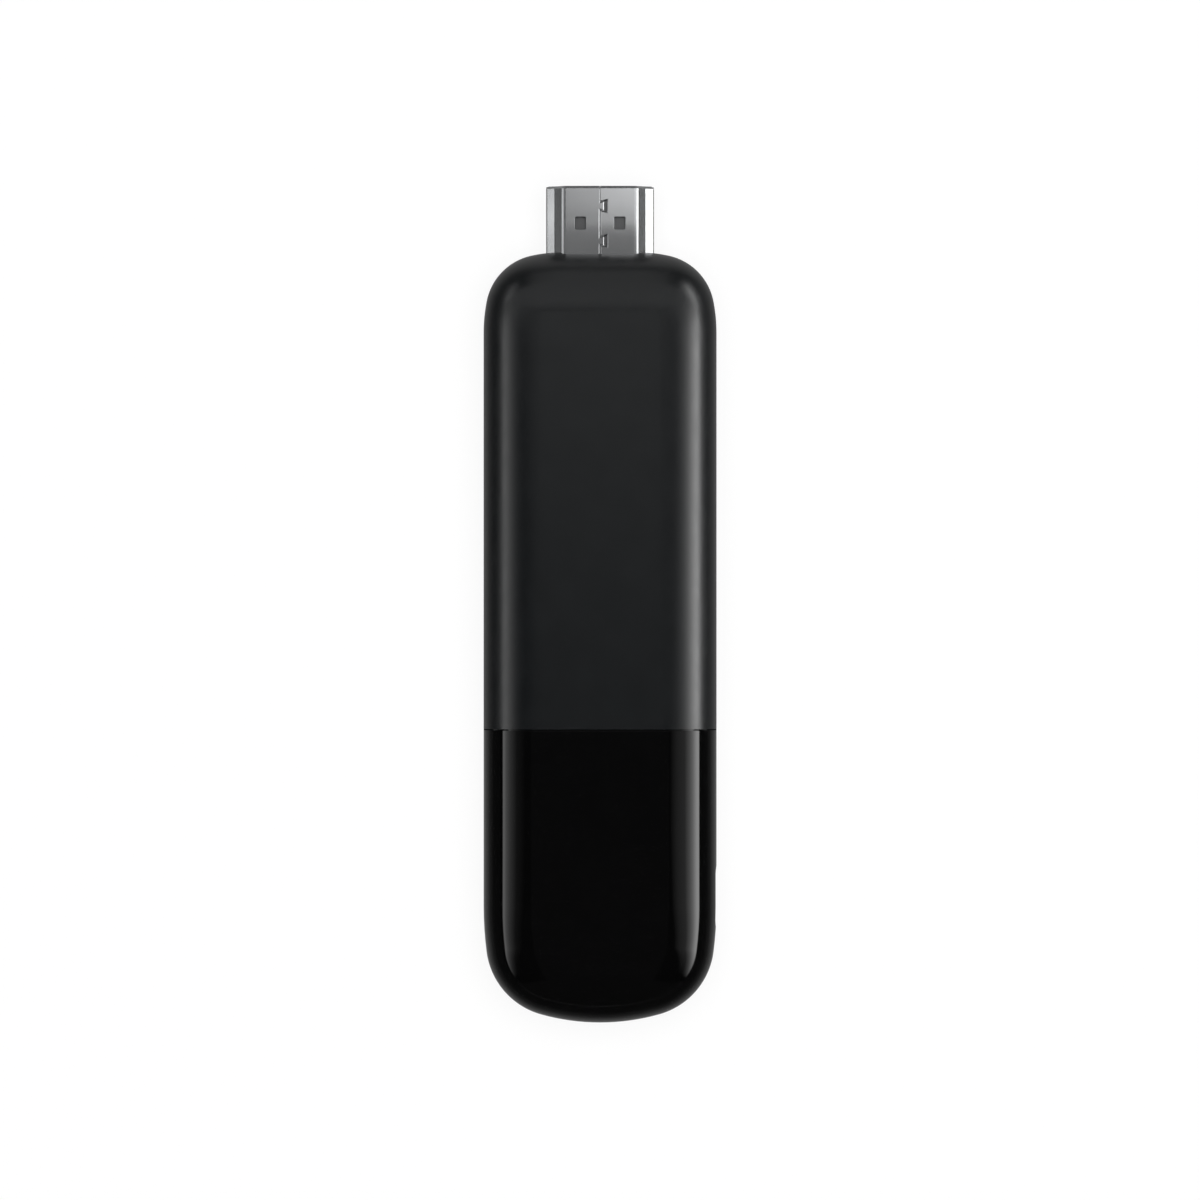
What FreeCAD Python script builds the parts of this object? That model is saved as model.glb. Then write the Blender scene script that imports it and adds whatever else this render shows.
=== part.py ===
import FreeCAD, Part

import math
import os

import Sketcher
from FreeCAD import Vector

# Streaming media stick: a moulded housing whose front has a gloss cap at the closed end, a folded steel
# HDMI plug at the other end, a micro-USB power port in its right side, and the board, shields and heat
# spreaders inside.
# Millimetres. X runs across the width, Y along the length towards the plug, Z through the thickness.
# The stick lies on its back. Its origin is the centre of its length and width, on the back face.

SIZES = {
    # Housing, measured on the photograph against the plug's standard width
    "body_length": 99.2,
    "body_width": 30.0,
    "body_thickness": 15.4,
    "edge_band": 0.3,
    "wall": 2.0,
    "cavity_bevel_share": 0.7,
    "rib_root": 0.8,
    # Outline at the closed end: crown, and easing from the corner into the straight side
    "end_radius": 25.22,
    "end_side_radius": 17.35,
    "end_side_start": 12.8,
    # Outline at the plug end: flat, shoulder, and easing from the corner into the straight side
    "root_flat": 10.45,
    "root_shoulder_radius": 16.0,
    "root_side_radius": 19.8,
    "root_side_start": 10.23,
    # Parting line
    "lip_height": 0.8,
    "lip_thickness": 0.7,
    "lip_clearance": 0.05,
    "pry_station": 40.5,
    "pry_left_length": 0.9,
    "pry_right_length": 0.4,
    "pry_depth": 0.35,
    "pry_height": 1.0,
    # Gloss cap on the lower front, with a tongue under the front cover
    "gloss_length": 37.8,
    "gloss_gap": 0.15,
    "tongue_length": 2.4,
    "tongue_depth": 1.0,
    "tongue_clearance": 0.05,
    "tongue_root": 1.6,
    # Snap hooks of the front cover and their catches in the rear cover
    "hook_count": 3,
    "hook_first": 30.0,
    "hook_spacing": 22.0,
    "hook_width": 4.0,
    "hook_thickness": 1.0,
    "hook_reach": 2.3,
    "hook_root": 4.1,
    "hook_bite": 0.45,
    "hook_nose": 0.225,
    "hook_ramp": 0.9,
    "hook_land": 0.225,
    "hook_clearance": 0.15,
    "catch_clearance": 0.2,
    # HDMI plug
    "plug_reach": 8.5,
    "plug_width": 13.9,
    "plug_height": 4.45,
    "plug_narrow_width": 9.5,
    "plug_bend_width": 11.7,
    "plug_bend_height": 2.725,
    "plug_side_height": 1.925,
    "plug_sheet": 0.35,
    "plug_bend_radius": 0.5,
    "plug_tip_bevel": 0.3,
    "plug_inside": 8.0,
    "plug_opening_clearance": 0.1,
    "latch_width": 1.45,
    "latch_length": 1.65,
    "latch_spacing": 5.06,
    "latch_from_tip": 4.8,
    "latch_relief": 0.4,
    "seam_gap": 0.06,
    "dovetail_root": 1.03,
    "dovetail_end": 1.48,
    "dovetail_reach": 0.88,
    "dovetail_first": 2.61,
    "dovetail_second": 7.12,
    "leg_length": 2.0,
    "leg_rise": 0.4,
    "leg_clearance": 0.2,
    # HDMI insulator and contacts
    "insulator_clearance": 0.05,
    "mouth_setback": 0.5,
    "mouth_depth": 7.5,
    "mouth_width": 9.8,
    "mouth_height": 1.9,
    "mouth_corner": 0.5,
    "contact_pitch": 1.0,
    "contact_width": 0.35,
    "contact_thickness": 0.2,
    "contact_stand": 0.05,
    "contact_setback": 1.2,
    "contact_tail": 2.0,
    "contact_jog": 1.2,
    "wide_row_count": 10,
    "narrow_row_count": 9,
    # Main board
    "board_thickness": 1.0,
    "board_width": 22.4,
    "board_start": 5.2,
    "board_plug_setback": 9.2,
    "board_corner": 6.0,
    "board_bevel": 1.0,
    # Posts that hold the board, one pair with locating pins
    "post_station": 25.0,
    "post_spacing": 17.0,
    "post_side": 3.4,
    "rear_post_setback": 17.2,
    "rear_post_spacing": 17.6,
    "pin_radius": 0.9,
    "pin_rise": 0.5,
    "pin_clearance": 0.1,
    # Power port
    "port_station": 16.3,
    "port_width": 7.4,
    "port_height": 2.5,
    "port_floor_width": 5.5,
    "port_side_height": 1.15,
    "port_depth": 5.0,
    "port_sheet": 0.3,
    "port_bend_radius": 0.4,
    "port_set_in": 0.8,
    "port_opening_length": 7.8,
    "port_opening_height": 3.3,
    "port_opening_corner": 1.2,
    "port_board_clearance": 0.15,
    "port_tab_length": 1.4,
    "port_tab_reach": 1.2,
    "port_tongue_width": 3.8,
    "port_tongue_thickness": 0.6,
    "port_tongue_setback": 0.6,
    "port_block_depth": 1.5,
    "port_contact_count": 5,
    "port_contact_pitch": 0.65,
    "port_contact_width": 0.3,
    "port_contact_thickness": 0.2,
    "port_contact_drop": 0.05,
    "port_contact_tail": 1.2,
    # Shields, thermal pads and heat spreaders
    "shield_width": 17.0,
    "shield_start": 30.0,
    "shield_setback": 25.2,
    "front_shield_height": 1.8,
    "rear_shield_height": 1.5,
    "shield_wall": 0.3,
    "shield_bar": 1.2,
    "lid_sheet": 0.2,
    "lid_skirt": 1.1,
    "lid_slot_width": 0.6,
    "lid_slot_length": 4.0,
    "lid_slot_spacing": 12.0,
    "lid_slot_count": 3,
    "lid_slot_inset": 0.9,
    "pad_thickness": 1.0,
    "pad_width": 14.0,
    "pad_margin": 4.0,
    "spreader_sheet": 1.0,
    "spreader_width": 19.4,
    "spreader_overhang": 3.0,
    "spreader_flange": 1.4,
    "spreader_flange_sheet": 0.8,
    "spreader_corner": 2.0,
    # Ribs of the covers
    "rib_thickness": 0.8,
    "rib_spacing": 5.0,
    "rib_count": 4,
    "rib_overhang": 1.0,
    "saddle_width": 17.0,
    "saddle_length": 3.0,
    "saddle_set_back": 4.0,
    # Chips and small parts on the board
    "soc_side": 12.0,
    "soc_height": 1.0,
    "soc_from_shield": 9.0,
    "soc_pad_side": 10.0,
    "memory_width": 7.5,
    "memory_length": 10.0,
    "memory_height": 0.9,
    "memory_from_shield": 25.0,
    "memory_gap": 0.6,
    "storage_width": 11.5,
    "storage_length": 13.0,
    "storage_height": 0.9,
    "storage_from_shield": 24.5,
    "radio_width": 12.0,
    "radio_length": 10.0,
    "radio_height": 1.2,
    "radio_from_shield": 9.0,
    "power_chip_side": 5.0,
    "power_chip_height": 0.8,
    "power_chip_station": 20.0,
    "power_chip_offset": 2.6,
    "crystal_width": 3.2,
    "crystal_length": 2.5,
    "crystal_height": 0.7,
    "crystal_from_shield": 17.4,
    "inductor_side": 2.6,
    "inductor_height": 1.3,
    "inductor_station": 17.4,
    "inductor_spacing": 3.3,
    "inductor_count": 3,
    "inductor_first": -3.6,
    "capacitor_width": 0.8,
    "capacitor_length": 1.6,
    "capacitor_height": 0.8,
    "capacitors_from_shield": 4.0,
    "capacitor_spacing": 2.6,
    "capacitor_count": 6,
    "capacitor_offset": 7.2,
    # Antennas at the closed end
    "antenna_width": 7.5,
    "antenna_depth": 1.6,
    "antenna_rise": 2.6,
    "antenna_sheet": 0.3,
    "antenna_station": 9.0,
    "antenna_gap": 3.0,
    "antenna_feed": 3.0,
    "antenna_feed_width": 0.6,
    "antenna_fold": 1.0,
}

# Levels and stations that several pieces share, as expressions on the sheet
MIDDLE = "sizes.body_thickness / 2"
# The edge rounding leaves an upright band beside the parting line, and is the radius of the corners too
ROUND = f"({MIDDLE} - sizes.edge_band)"
BOARD_TOP = f"{MIDDLE} + sizes.board_thickness / 2"
BOARD_UNDER = f"{MIDDLE} - sizes.board_thickness / 2"
FRONT_LID = f"{BOARD_TOP} + sizes.front_shield_height + sizes.lid_sheet"
REAR_LID = f"{BOARD_UNDER} - sizes.rear_shield_height - sizes.lid_sheet"
FRONT_PLATE = f"{FRONT_LID} + sizes.pad_thickness"
REAR_PLATE = f"{REAR_LID} - sizes.pad_thickness"
BOARD_EDGE = "(sizes.body_length - sizes.board_plug_setback)"
REAR_POSTS = "sizes.body_length - sizes.rear_post_setback"
SHIELD_END = "(sizes.body_length - sizes.shield_setback)"
SHIELD_LENGTH = f"({SHIELD_END} - sizes.shield_start)"
SOC = "sizes.shield_start + sizes.soc_from_shield"
SHIELD_CENTRE = f"(sizes.shield_start + {SHIELD_LENGTH} / 2)"
TIP = "sizes.body_length + sizes.plug_reach"
PLUG_REAR = "sizes.body_length - sizes.plug_inside"
PORT_MOUTH = "sizes.body_width / 2 - sizes.port_set_in"
PORT_REAR = f"{PORT_MOUTH} - sizes.port_depth"
# Ribs, posts and bosses start this deep in the covers' walls
FLOOR = "(sizes.wall - sizes.rib_root)"
ROOF = f"sizes.body_thickness - {FLOOR}"

doc = FreeCAD.newDocument("media_stick")
sheet = doc.addObject("Spreadsheet::Sheet", "sizes")
for row, (alias, number) in enumerate(SIZES.items(), start=1):
    sheet.set(f"A{row}", alias)
    sheet.set(f"B{row}", str(number))
    sheet.setAlias(f"B{row}", alias)
doc.recompute()

sub_parts = []


# General helpers

def value(expression):
    """The number that an expression on the sheet gives."""
    return float(sheet.evalExpression(expression))


def new_body(label, several=False):
    """A sub-part in the housing's frame, shifted so that the origin is the middle of the whole length."""
    body = doc.addObject("PartDesign::Body", label)
    body.Label = label
    body.AllowCompound = several
    body.setExpression("Placement.Base.y", f"-({TIP}) / 2")
    sub_parts.append(body)
    return body


def new_tool(name):
    """A body that only cuts another one, in the housing's frame."""
    return doc.addObject("PartDesign::Body", name)


def origin_feature(body, role):
    return next(feature for feature in body.Origin.OriginFeatures if feature.Role == role)


def new_sketch(body, role, offset="0"):
    """A sketch on one of the body's own origin planes, moved along the plane's normal."""
    sketch = body.newObject("Sketcher::SketchObject", "Sketch")
    sketch.AttachmentSupport = [(origin_feature(body, role), "")]
    sketch.MapMode = "FlatFace"
    sketch.setExpression("AttachmentOffset.Base.z", offset)
    return sketch


def hold(sketch, kind, expression, *places):
    """Adds a dimension that follows an expression on the sheet."""
    index = sketch.addConstraint(Sketcher.Constraint(kind, *places, value(expression)))
    sketch.setExpression(f"Constraints[{index}]", expression)


def hold_point(sketch, curve, end, x, y):
    hold(sketch, "DistanceX", x, -1, 1, curve, end)
    hold(sketch, "DistanceY", y, -1, 1, curve, end)


def polygon(sketch, corners):
    """A closed outline through corners given as pairs of expressions."""
    points = [Vector(value(x), value(y), 0) for x, y in corners]
    count = len(points)
    first = sketch.GeometryCount
    sketch.addGeometry([Part.LineSegment(points[i], points[(i + 1) % count]) for i in range(count)], False)
    for i in range(count):
        after = first + (i + 1) % count
        sketch.addConstraint(Sketcher.Constraint("Coincident", first + i, 2, after, 1))
    for i, (x, y) in enumerate(corners):
        hold_point(sketch, first + i, 1, x, y)
    return first


def rectangle(sketch, x_low, x_high, y_low, y_high):
    corners = [(x_low, y_low), (x_high, y_low), (x_high, y_high), (x_low, y_high)]
    return polygon(sketch, corners)


def circle(sketch, x, y, radius):
    index = sketch.GeometryCount
    centre = Vector(value(x), value(y), 0)
    sketch.addGeometry(Part.Circle(centre, Vector(0, 0, 1), value(radius)), False)
    hold_point(sketch, index, 3, x, y)
    hold(sketch, "Radius", radius, index)


def pad(body, sketch, length, centred=False, backward=False):
    feature = body.newObject("PartDesign::Pad", "Pad")
    feature.Profile = sketch
    feature.setExpression("Length", length)
    feature.Midplane = centred
    feature.Reversed = backward
    doc.recompute()
    return feature


def pocket(body, sketch, length, centred=False, backward=False):
    before = body.Shape.Volume
    feature = body.newObject("PartDesign::Pocket", "Pocket")
    feature.Profile = sketch
    feature.setExpression("Length", length)
    feature.Midplane = centred
    feature.Reversed = backward
    doc.recompute()
    if feature.Shape.Volume >= before:
        raise ValueError(f"{body.Label}: a pocket cuts nothing")
    return feature


def block(body, x, y, z, width, length, height, cut=False):
    """A box with its low corner at x, y, z, added to the body or cut from it."""
    kind = "PartDesign::SubtractiveBox" if cut else "PartDesign::AdditiveBox"
    feature = body.newObject(kind, "Block")
    feature.setExpression("Length", width)
    feature.setExpression("Width", length)
    feature.setExpression("Height", height)
    feature.setExpression("Placement.Base.x", x)
    feature.setExpression("Placement.Base.y", y)
    feature.setExpression("Placement.Base.z", z)
    doc.recompute()
    return feature


def drum(body, x, y, z, radius, height, cut=False):
    """An upright cylinder with its lower centre at x, y, z, added to the body or cut from it."""
    kind = "PartDesign::SubtractiveCylinder" if cut else "PartDesign::AdditiveCylinder"
    feature = body.newObject(kind, "Drum")
    feature.setExpression("Radius", radius)
    feature.setExpression("Height", height)
    feature.setExpression("Placement.Base.x", x)
    feature.setExpression("Placement.Base.y", y)
    feature.setExpression("Placement.Base.z", z)
    doc.recompute()
    return feature


def edges_where(feature, wanted):
    return [f"Edge{i}" for i, edge in enumerate(feature.Shape.Edges, start=1) if wanted(edge)]


def faces_where(feature, wanted):
    return [f"Face{i}" for i, face in enumerate(feature.Shape.Faces, start=1) if wanted(face)]


def lies_at(axis, level):
    """Tells whether an edge or face lies flat at a level along X, Y or Z (axis 0, 1 or 2)."""
    near = 0.01

    def wanted(piece):
        box = piece.BoundBox
        extent = (box.XLength, box.YLength, box.ZLength)[axis]
        return extent < near and abs(piece.CenterOfMass[axis] - level) < near

    return wanted


def runs_along(axis):
    """Tells whether an edge is straight and parallel to X, Y or Z (axis 0, 1 or 2)."""
    near = 0.001

    def wanted(edge):
        box = edge.BoundBox
        extents = [box.XLength, box.YLength, box.ZLength]
        along = extents.pop(axis)
        return along > near and max(extents) < near

    return wanted


def round_off(body, feature, radius, wanted):
    fillet = body.newObject("PartDesign::Fillet", "Fillet")
    fillet.Base = (feature, edges_where(feature, wanted))
    fillet.setExpression("Radius", radius)
    doc.recompute()
    return fillet


def bevel(body, feature, size, wanted):
    chamfer = body.newObject("PartDesign::Chamfer", "Chamfer")
    chamfer.Base = (feature, edges_where(feature, wanted))
    chamfer.setExpression("Size", size)
    doc.recompute()
    return chamfer


def hollow(body, feature, wall, open_faces):
    """Leaves a wall inside the feature's surface and opens the faces named."""
    shell = body.newObject("PartDesign::Thickness", "Thickness")
    shell.Base = (feature, open_faces)
    shell.setExpression("Value", wall)
    shell.Reversed = True
    shell.Join = "Intersection"
    doc.recompute()
    return shell


def repeat(body, features, role, spacing, count):
    """Repeats features along one of the body's axes."""
    pattern = body.newObject("PartDesign::LinearPattern", "Pattern")
    pattern.Originals = features
    pattern.Direction = (origin_feature(body, role), [""])
    pattern.Mode = "Spacing"
    pattern.setExpression("Offset", spacing)
    pattern.setExpression("Occurrences", count)
    body.Tip = pattern
    doc.recompute()
    return pattern


# Outline of the housing

def meeting_point(centre_a, reach_a, centre_b, reach_b):
    """The point at given distances from two centres that lies further out in X."""
    apart = math.dist(centre_a, centre_b)
    along = (reach_a**2 - reach_b**2 + apart**2) / (2 * apart)
    aside = math.sqrt(reach_a**2 - along**2)
    unit = ((centre_b[0] - centre_a[0]) / apart, (centre_b[1] - centre_a[1]) / apart)
    foot = (centre_a[0] + along * unit[0], centre_a[1] + along * unit[1])
    options = [(foot[0] - side * aside * unit[1], foot[1] + side * aside * unit[0]) for side in (1, -1)]
    return max(options)


def point_towards(centre, target, reach):
    apart = math.dist(centre, target)
    return tuple(c + (t - c) * reach / apart for c, t in zip(centre, target))


def mirrored(point):
    return (-point[0], point[1])


def arc_between(centre, radius, start, end):
    """A counter-clockwise arc."""
    angles = [math.atan2(p[1] - centre[1], p[0] - centre[0]) for p in (start, end)]
    return Part.ArcOfCircle(Part.Circle(Vector(*centre, 0), Vector(0, 0, 1), radius), *angles)


def line_between(start, end):
    return Part.LineSegment(Vector(*start, 0), Vector(*end, 0))


def outline(sketch, inset="0"):
    """The housing's outline, drawn inside its outer edge by the inset, as one chain of tangent curves.

    The four corners share the radius of the edge rounding, so that each ends in part of a sphere.
    """
    step = value(inset)
    size = {name: value(f"sizes.{name}") for name in SIZES}
    half = size["body_width"] / 2
    length = size["body_length"]

    end_radius = size["end_radius"]
    corner = value(ROUND)
    end_side = size["end_side_radius"]
    end_centre = (0, end_radius)
    end_side_centre = (half - end_side, size["end_side_start"])
    end_corner_centre = meeting_point(
        end_centre, end_radius - corner, end_side_centre, end_side - corner
    )
    crown_end = point_towards(end_centre, end_corner_centre, end_radius - step)
    corner_end = point_towards(end_side_centre, end_corner_centre, end_side - step)
    side_start = (half - step, size["end_side_start"])

    shoulder = size["root_shoulder_radius"]
    root_side = size["root_side_radius"]
    shoulder_centre = (size["root_flat"] / 2, length - shoulder)
    root_side_centre = (half - root_side, length - size["root_side_start"])
    root_corner_centre = meeting_point(
        root_side_centre, root_side - corner, shoulder_centre, shoulder - corner
    )
    side_end = (half - step, length - size["root_side_start"])
    easing_end = point_towards(root_side_centre, root_corner_centre, root_side - step)
    shoulder_start = point_towards(shoulder_centre, root_corner_centre, shoulder - step)
    flat_start = (size["root_flat"] / 2, length - step)

    right = [
        (end_corner_centre, ROUND, crown_end, corner_end),
        (end_side_centre, "sizes.end_side_radius", corner_end, side_start),
        (None, None, side_start, side_end),
        (root_side_centre, "sizes.root_side_radius", side_end, easing_end),
        (root_corner_centre, ROUND, easing_end, shoulder_start),
        (shoulder_centre, "sizes.root_shoulder_radius", shoulder_start, flat_start),
    ]
    left = []
    for centre, radius, start, end in reversed(right):
        left.append((mirrored(centre) if centre else None, radius, mirrored(end), mirrored(start)))
    crown = (end_centre, "sizes.end_radius", mirrored(crown_end), crown_end)
    flat = (None, None, flat_start, mirrored(flat_start))
    chain = [crown, *right, flat, *left]

    for centre, radius, start, end in chain:
        if centre:
            curve = arc_between(centre, value(radius) - step, start, end)
        else:
            curve = line_between(start, end)
        sketch.addGeometry(curve, False)
    for i in range(len(chain)):
        sketch.addConstraint(Sketcher.Constraint("Tangent", i, 2, (i + 1) % len(chain), 1))
    for i, (centre, radius, _, _) in enumerate(chain):
        if centre:
            hold(sketch, "Radius", f"{radius} - ({inset})", i)

    # The places of the curves in the chain, each on the right and on the left
    flat_place = len(right) + 1
    end_sides = (2, flat_place + 5)
    straights = {3: 1, flat_place + 4: -1}
    root_sides = (4, flat_place + 3)
    shoulders = {flat_place - 1: 1, flat_place + 1: -1}
    sketch.addConstraint(Sketcher.Constraint("PointOnObject", 0, 3, -2))
    hold(sketch, "DistanceY", "sizes.end_radius", -1, 1, 0, 3)
    for i, side in straights.items():
        sketch.addConstraint(Sketcher.Constraint("Vertical", i))
        hold(sketch, "DistanceX", f"{side} * (sizes.body_width / 2 - ({inset}))", -1, 1, i, 1)
    for i in end_sides:
        hold(sketch, "DistanceY", "sizes.end_side_start", -1, 1, i, 3)
    for i in root_sides:
        hold(sketch, "DistanceY", "sizes.body_length - sizes.root_side_start", -1, 1, i, 3)
    sketch.addConstraint(Sketcher.Constraint("Horizontal", flat_place))
    hold(sketch, "DistanceY", f"sizes.body_length - ({inset})", -1, 1, flat_place, 1)
    for i, side in shoulders.items():
        hold(sketch, "DistanceX", f"{side} * sizes.root_flat / 2", -1, 1, i, 3)


def half_housing(body, front):
    """Half of the housing's rounded form, as a solid block from the parting plane outwards."""
    sketch = new_sketch(body, "XY_Plane", MIDDLE)
    outline(sketch)
    solid = pad(body, sketch, MIDDLE, backward=not front)
    outer_level = value("sizes.body_thickness") if front else 0
    return round_off(body, solid, ROUND, lies_at(2, outer_level))


def combine(body, tool, kind):
    """Joins a finished tool body to a sub-part (Fuse) or takes it away (Cut)."""
    before = body.Shape.Volume
    feature = body.newObject("PartDesign::Boolean", kind)
    feature.setObjects([tool])
    feature.Type = kind
    doc.recompute()
    if feature.Shape.isNull() or feature.Shape.Volume == before:
        raise ValueError(f"{body.Label}: {tool.Label} changes nothing")


def cavity(body, front):
    """Hollows half of the housing, with a bevel inside its rounded edge so that the wall stays even."""
    tool = new_tool(f"{body.Label}_cavity")
    sketch = new_sketch(tool, "XY_Plane", MIDDLE)
    outline(sketch, "sizes.wall")
    solid = pad(tool, sketch, f"{MIDDLE} - sizes.wall", backward=not front)
    deep_level = value("sizes.body_thickness - sizes.wall" if front else "sizes.wall")
    bevel(tool, solid, f"({ROUND} - sizes.wall) * sizes.cavity_bevel_share", lies_at(2, deep_level))
    combine(body, tool, "Cut")


def cut_away(body, y_low, length):
    """Cuts away a stretch of the housing's length."""
    block(
        body,
        "-sizes.body_width",
        y_low,
        "0",
        "sizes.body_width * 2",
        length,
        "sizes.body_thickness * 2",
        cut=True,
    )


# HDMI plug

def plug_corners(sign=1):
    """Corners of the plug's outside in X and Z, with the narrow face to the front."""
    low = f"{MIDDLE} - sizes.plug_height / 2"
    side = [
        ("sizes.plug_width / 2", low),
        ("sizes.plug_width / 2", f"{low} + sizes.plug_side_height"),
        ("sizes.plug_bend_width / 2", f"{low} + sizes.plug_bend_height"),
        ("sizes.plug_narrow_width / 2", f"{MIDDLE} + sizes.plug_height / 2"),
    ]
    other = [(f"-{x}", z) for x, z in reversed(side)]
    return side + other


def offset_corners(sketch, corners, shift, inward):
    """A second outline held parallel to a construction outline, at a fixed distance from it."""
    first = polygon(sketch, corners)
    count = len(corners)
    for i in range(count):
        sketch.toggleConstruction(first + i)
    points = [Vector(value(x), value(z), 0) for x, z in corners]
    step = value(shift) * (1 if inward else -1)
    moved = []
    for i, corner in enumerate(points):
        before = (corner - points[i - 1]).normalize()
        after = (points[(i + 1) % count] - corner).normalize()
        normals = [Vector(-run.y, run.x, 0) for run in (before, after)]
        lean = 1 + normals[0].dot(normals[1])
        moved.append(corner + (normals[0] + normals[1]) * (step / lean))
    start = sketch.GeometryCount
    sketch.addGeometry([Part.LineSegment(moved[i], moved[(i + 1) % count]) for i in range(count)], False)
    for i in range(count):
        after = start + (i + 1) % count
        sketch.addConstraint(Sketcher.Constraint("Coincident", start + i, 2, after, 1))
    for i in range(count):
        sketch.addConstraint(Sketcher.Constraint("Parallel", start + i, first + i))
        hold(sketch, "Distance", shift, start + i, 1, first + i)


def plug_opening(body):
    """Cuts the plug's way through a cover's end wall."""
    sketch = new_sketch(body, "XZ_Plane", "-sizes.body_length - 1")
    offset_corners(sketch, plug_corners(), "sizes.plug_opening_clearance", inward=False)
    pocket(body, sketch, "sizes.saddle_set_back + sizes.saddle_length + 1", backward=True)


def port_opening(body):
    """Cuts the rounded power-port opening through a cover's right wall."""
    sketch = new_sketch(body, "YZ_Plane", "sizes.body_width / 2 + 1")
    rectangle(
        sketch,
        "sizes.port_station - sizes.port_opening_length / 2",
        "sizes.port_station + sizes.port_opening_length / 2",
        f"{MIDDLE} - sizes.port_opening_height / 2",
        f"{MIDDLE} + sizes.port_opening_height / 2",
    )
    cut = pocket(body, sketch, "sizes.wall + 2")
    half_length = value("sizes.port_opening_length / 2")
    station = value("sizes.port_station")
    half_height = value("sizes.port_opening_height / 2")
    middle = value(MIDDLE)

    def corner(edge):
        centre = edge.CenterOfMass
        at_side = abs(abs(centre.y - station) - half_length) < 0.01
        at_top = abs(abs(centre.z - middle) - half_height) < 0.01
        return runs_along(0)(edge) and at_side and at_top and centre.x > 0

    return round_off(body, cut, "sizes.port_opening_corner", corner)


def make_hdmi_shell():
    """The plug's folded steel sheet: tube with latch windows, a dovetailed seam and two board legs."""
    body = new_body("hdmi_shell")
    sketch = new_sketch(body, "XZ_Plane", f"-({TIP})")
    polygon(sketch, plug_corners())
    solid = pad(body, sketch, "sizes.plug_reach + sizes.plug_inside")
    bent = round_off(body, solid, "sizes.plug_bend_radius", runs_along(1))
    bevel(body, bent, "sizes.plug_tip_bevel", lies_at(1, value(TIP)))
    inside = new_sketch(body, "XZ_Plane", f"-({TIP})")
    offset_corners(inside, plug_corners(), "sizes.plug_sheet", inward=True)
    pocket(body, inside, "sizes.plug_reach + sizes.plug_inside", backward=True)

    latch_y = f"{TIP} - sizes.latch_from_tip"
    windows = new_sketch(body, "XY_Plane", f"{MIDDLE} + sizes.plug_height")
    for side in (1, -1):
        centre = f"{side} * sizes.latch_spacing / 2"
        rectangle(
            windows,
            f"{centre} - sizes.latch_width / 2",
            f"{centre} + sizes.latch_width / 2",
            f"{latch_y} - sizes.latch_length / 2",
            f"{latch_y} + sizes.latch_length / 2",
        )
    pocket(body, windows, "sizes.plug_height * 2")

    narrow_face = f"{MIDDLE} + sizes.plug_height / 2"
    slit = new_sketch(body, "XY_Plane", narrow_face)
    rectangle(slit, "-sizes.seam_gap / 2", "sizes.seam_gap / 2", f"{PLUG_REAR} - 1", f"{TIP} + 1")
    pocket(body, slit, "sizes.plug_sheet")
    sockets = new_sketch(body, "XY_Plane", narrow_face)
    tabs = new_sketch(body, "XY_Plane", narrow_face)
    for station in ("sizes.dovetail_first", "sizes.dovetail_second"):
        for drawing, grow in ((sockets, "sizes.seam_gap"), (tabs, "0")):
            root = f"(sizes.dovetail_root / 2 + {grow})"
            end = f"(sizes.dovetail_end / 2 + {grow})"
            reach = f"sizes.dovetail_reach + {grow}"
            centre = f"{TIP} - {station}"
            start = "-sizes.seam_gap"
            corners = [
                (start, f"{centre} - {root}"),
                (reach, f"{centre} - {end}"),
                (reach, f"{centre} + {end}"),
                (start, f"{centre} + {root}"),
            ]
            polygon(drawing, corners)
    pocket(body, sockets, "sizes.plug_sheet")
    pad(body, tabs, "sizes.plug_sheet", backward=True)

    wide_face = f"{MIDDLE} - sizes.plug_height / 2"
    leg_start = f"{PLUG_REAR} - sizes.leg_length * 2"
    for x in ("sizes.plug_width / 2 - sizes.plug_sheet", "-sizes.plug_width / 2"):
        low = f"{wide_face} + sizes.plug_bend_radius"
        block(body, x, leg_start, low, "sizes.plug_sheet", "sizes.leg_length * 2", f"{BOARD_UNDER} - ({low})")
        rise = f"sizes.board_thickness + sizes.leg_rise"
        block(body, x, leg_start, BOARD_UNDER, "sizes.plug_sheet", "sizes.leg_length", rise)


def contact_profile(sketch, side):
    """One bent HDMI contact in Y and Z, on the narrow (1) or wide (-1) side of the mouth."""
    rise = "sizes.mouth_height / 2 - sizes.contact_stand"
    front = f"{TIP} - sizes.contact_setback"
    jog = f"{BOARD_EDGE} + sizes.contact_jog"
    tail = f"{BOARD_EDGE} - sizes.contact_tail"
    thick = "sizes.contact_thickness"
    foot = "sizes.board_thickness / 2"
    path = [
        (front, rise),
        (jog, rise),
        (jog, foot),
        (tail, foot),
        (tail, f"{foot} + {thick}"),
        (f"{jog} - {thick}", f"{foot} + {thick}"),
        (f"{jog} - {thick}", f"{rise} + {thick}"),
        (front, f"{rise} + {thick}"),
    ]
    polygon(sketch, [(y, f"{MIDDLE} + {side} * ({z})") for y, z in path])


HDMI_ROWS = (
    ("hdmi_contacts_narrow_row", 1, "sizes.narrow_row_count"),
    ("hdmi_contacts_wide_row", -1, "sizes.wide_row_count"),
)


def row_start(pitch, count):
    return f"-({count} - 1) * {pitch} / 2"


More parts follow.
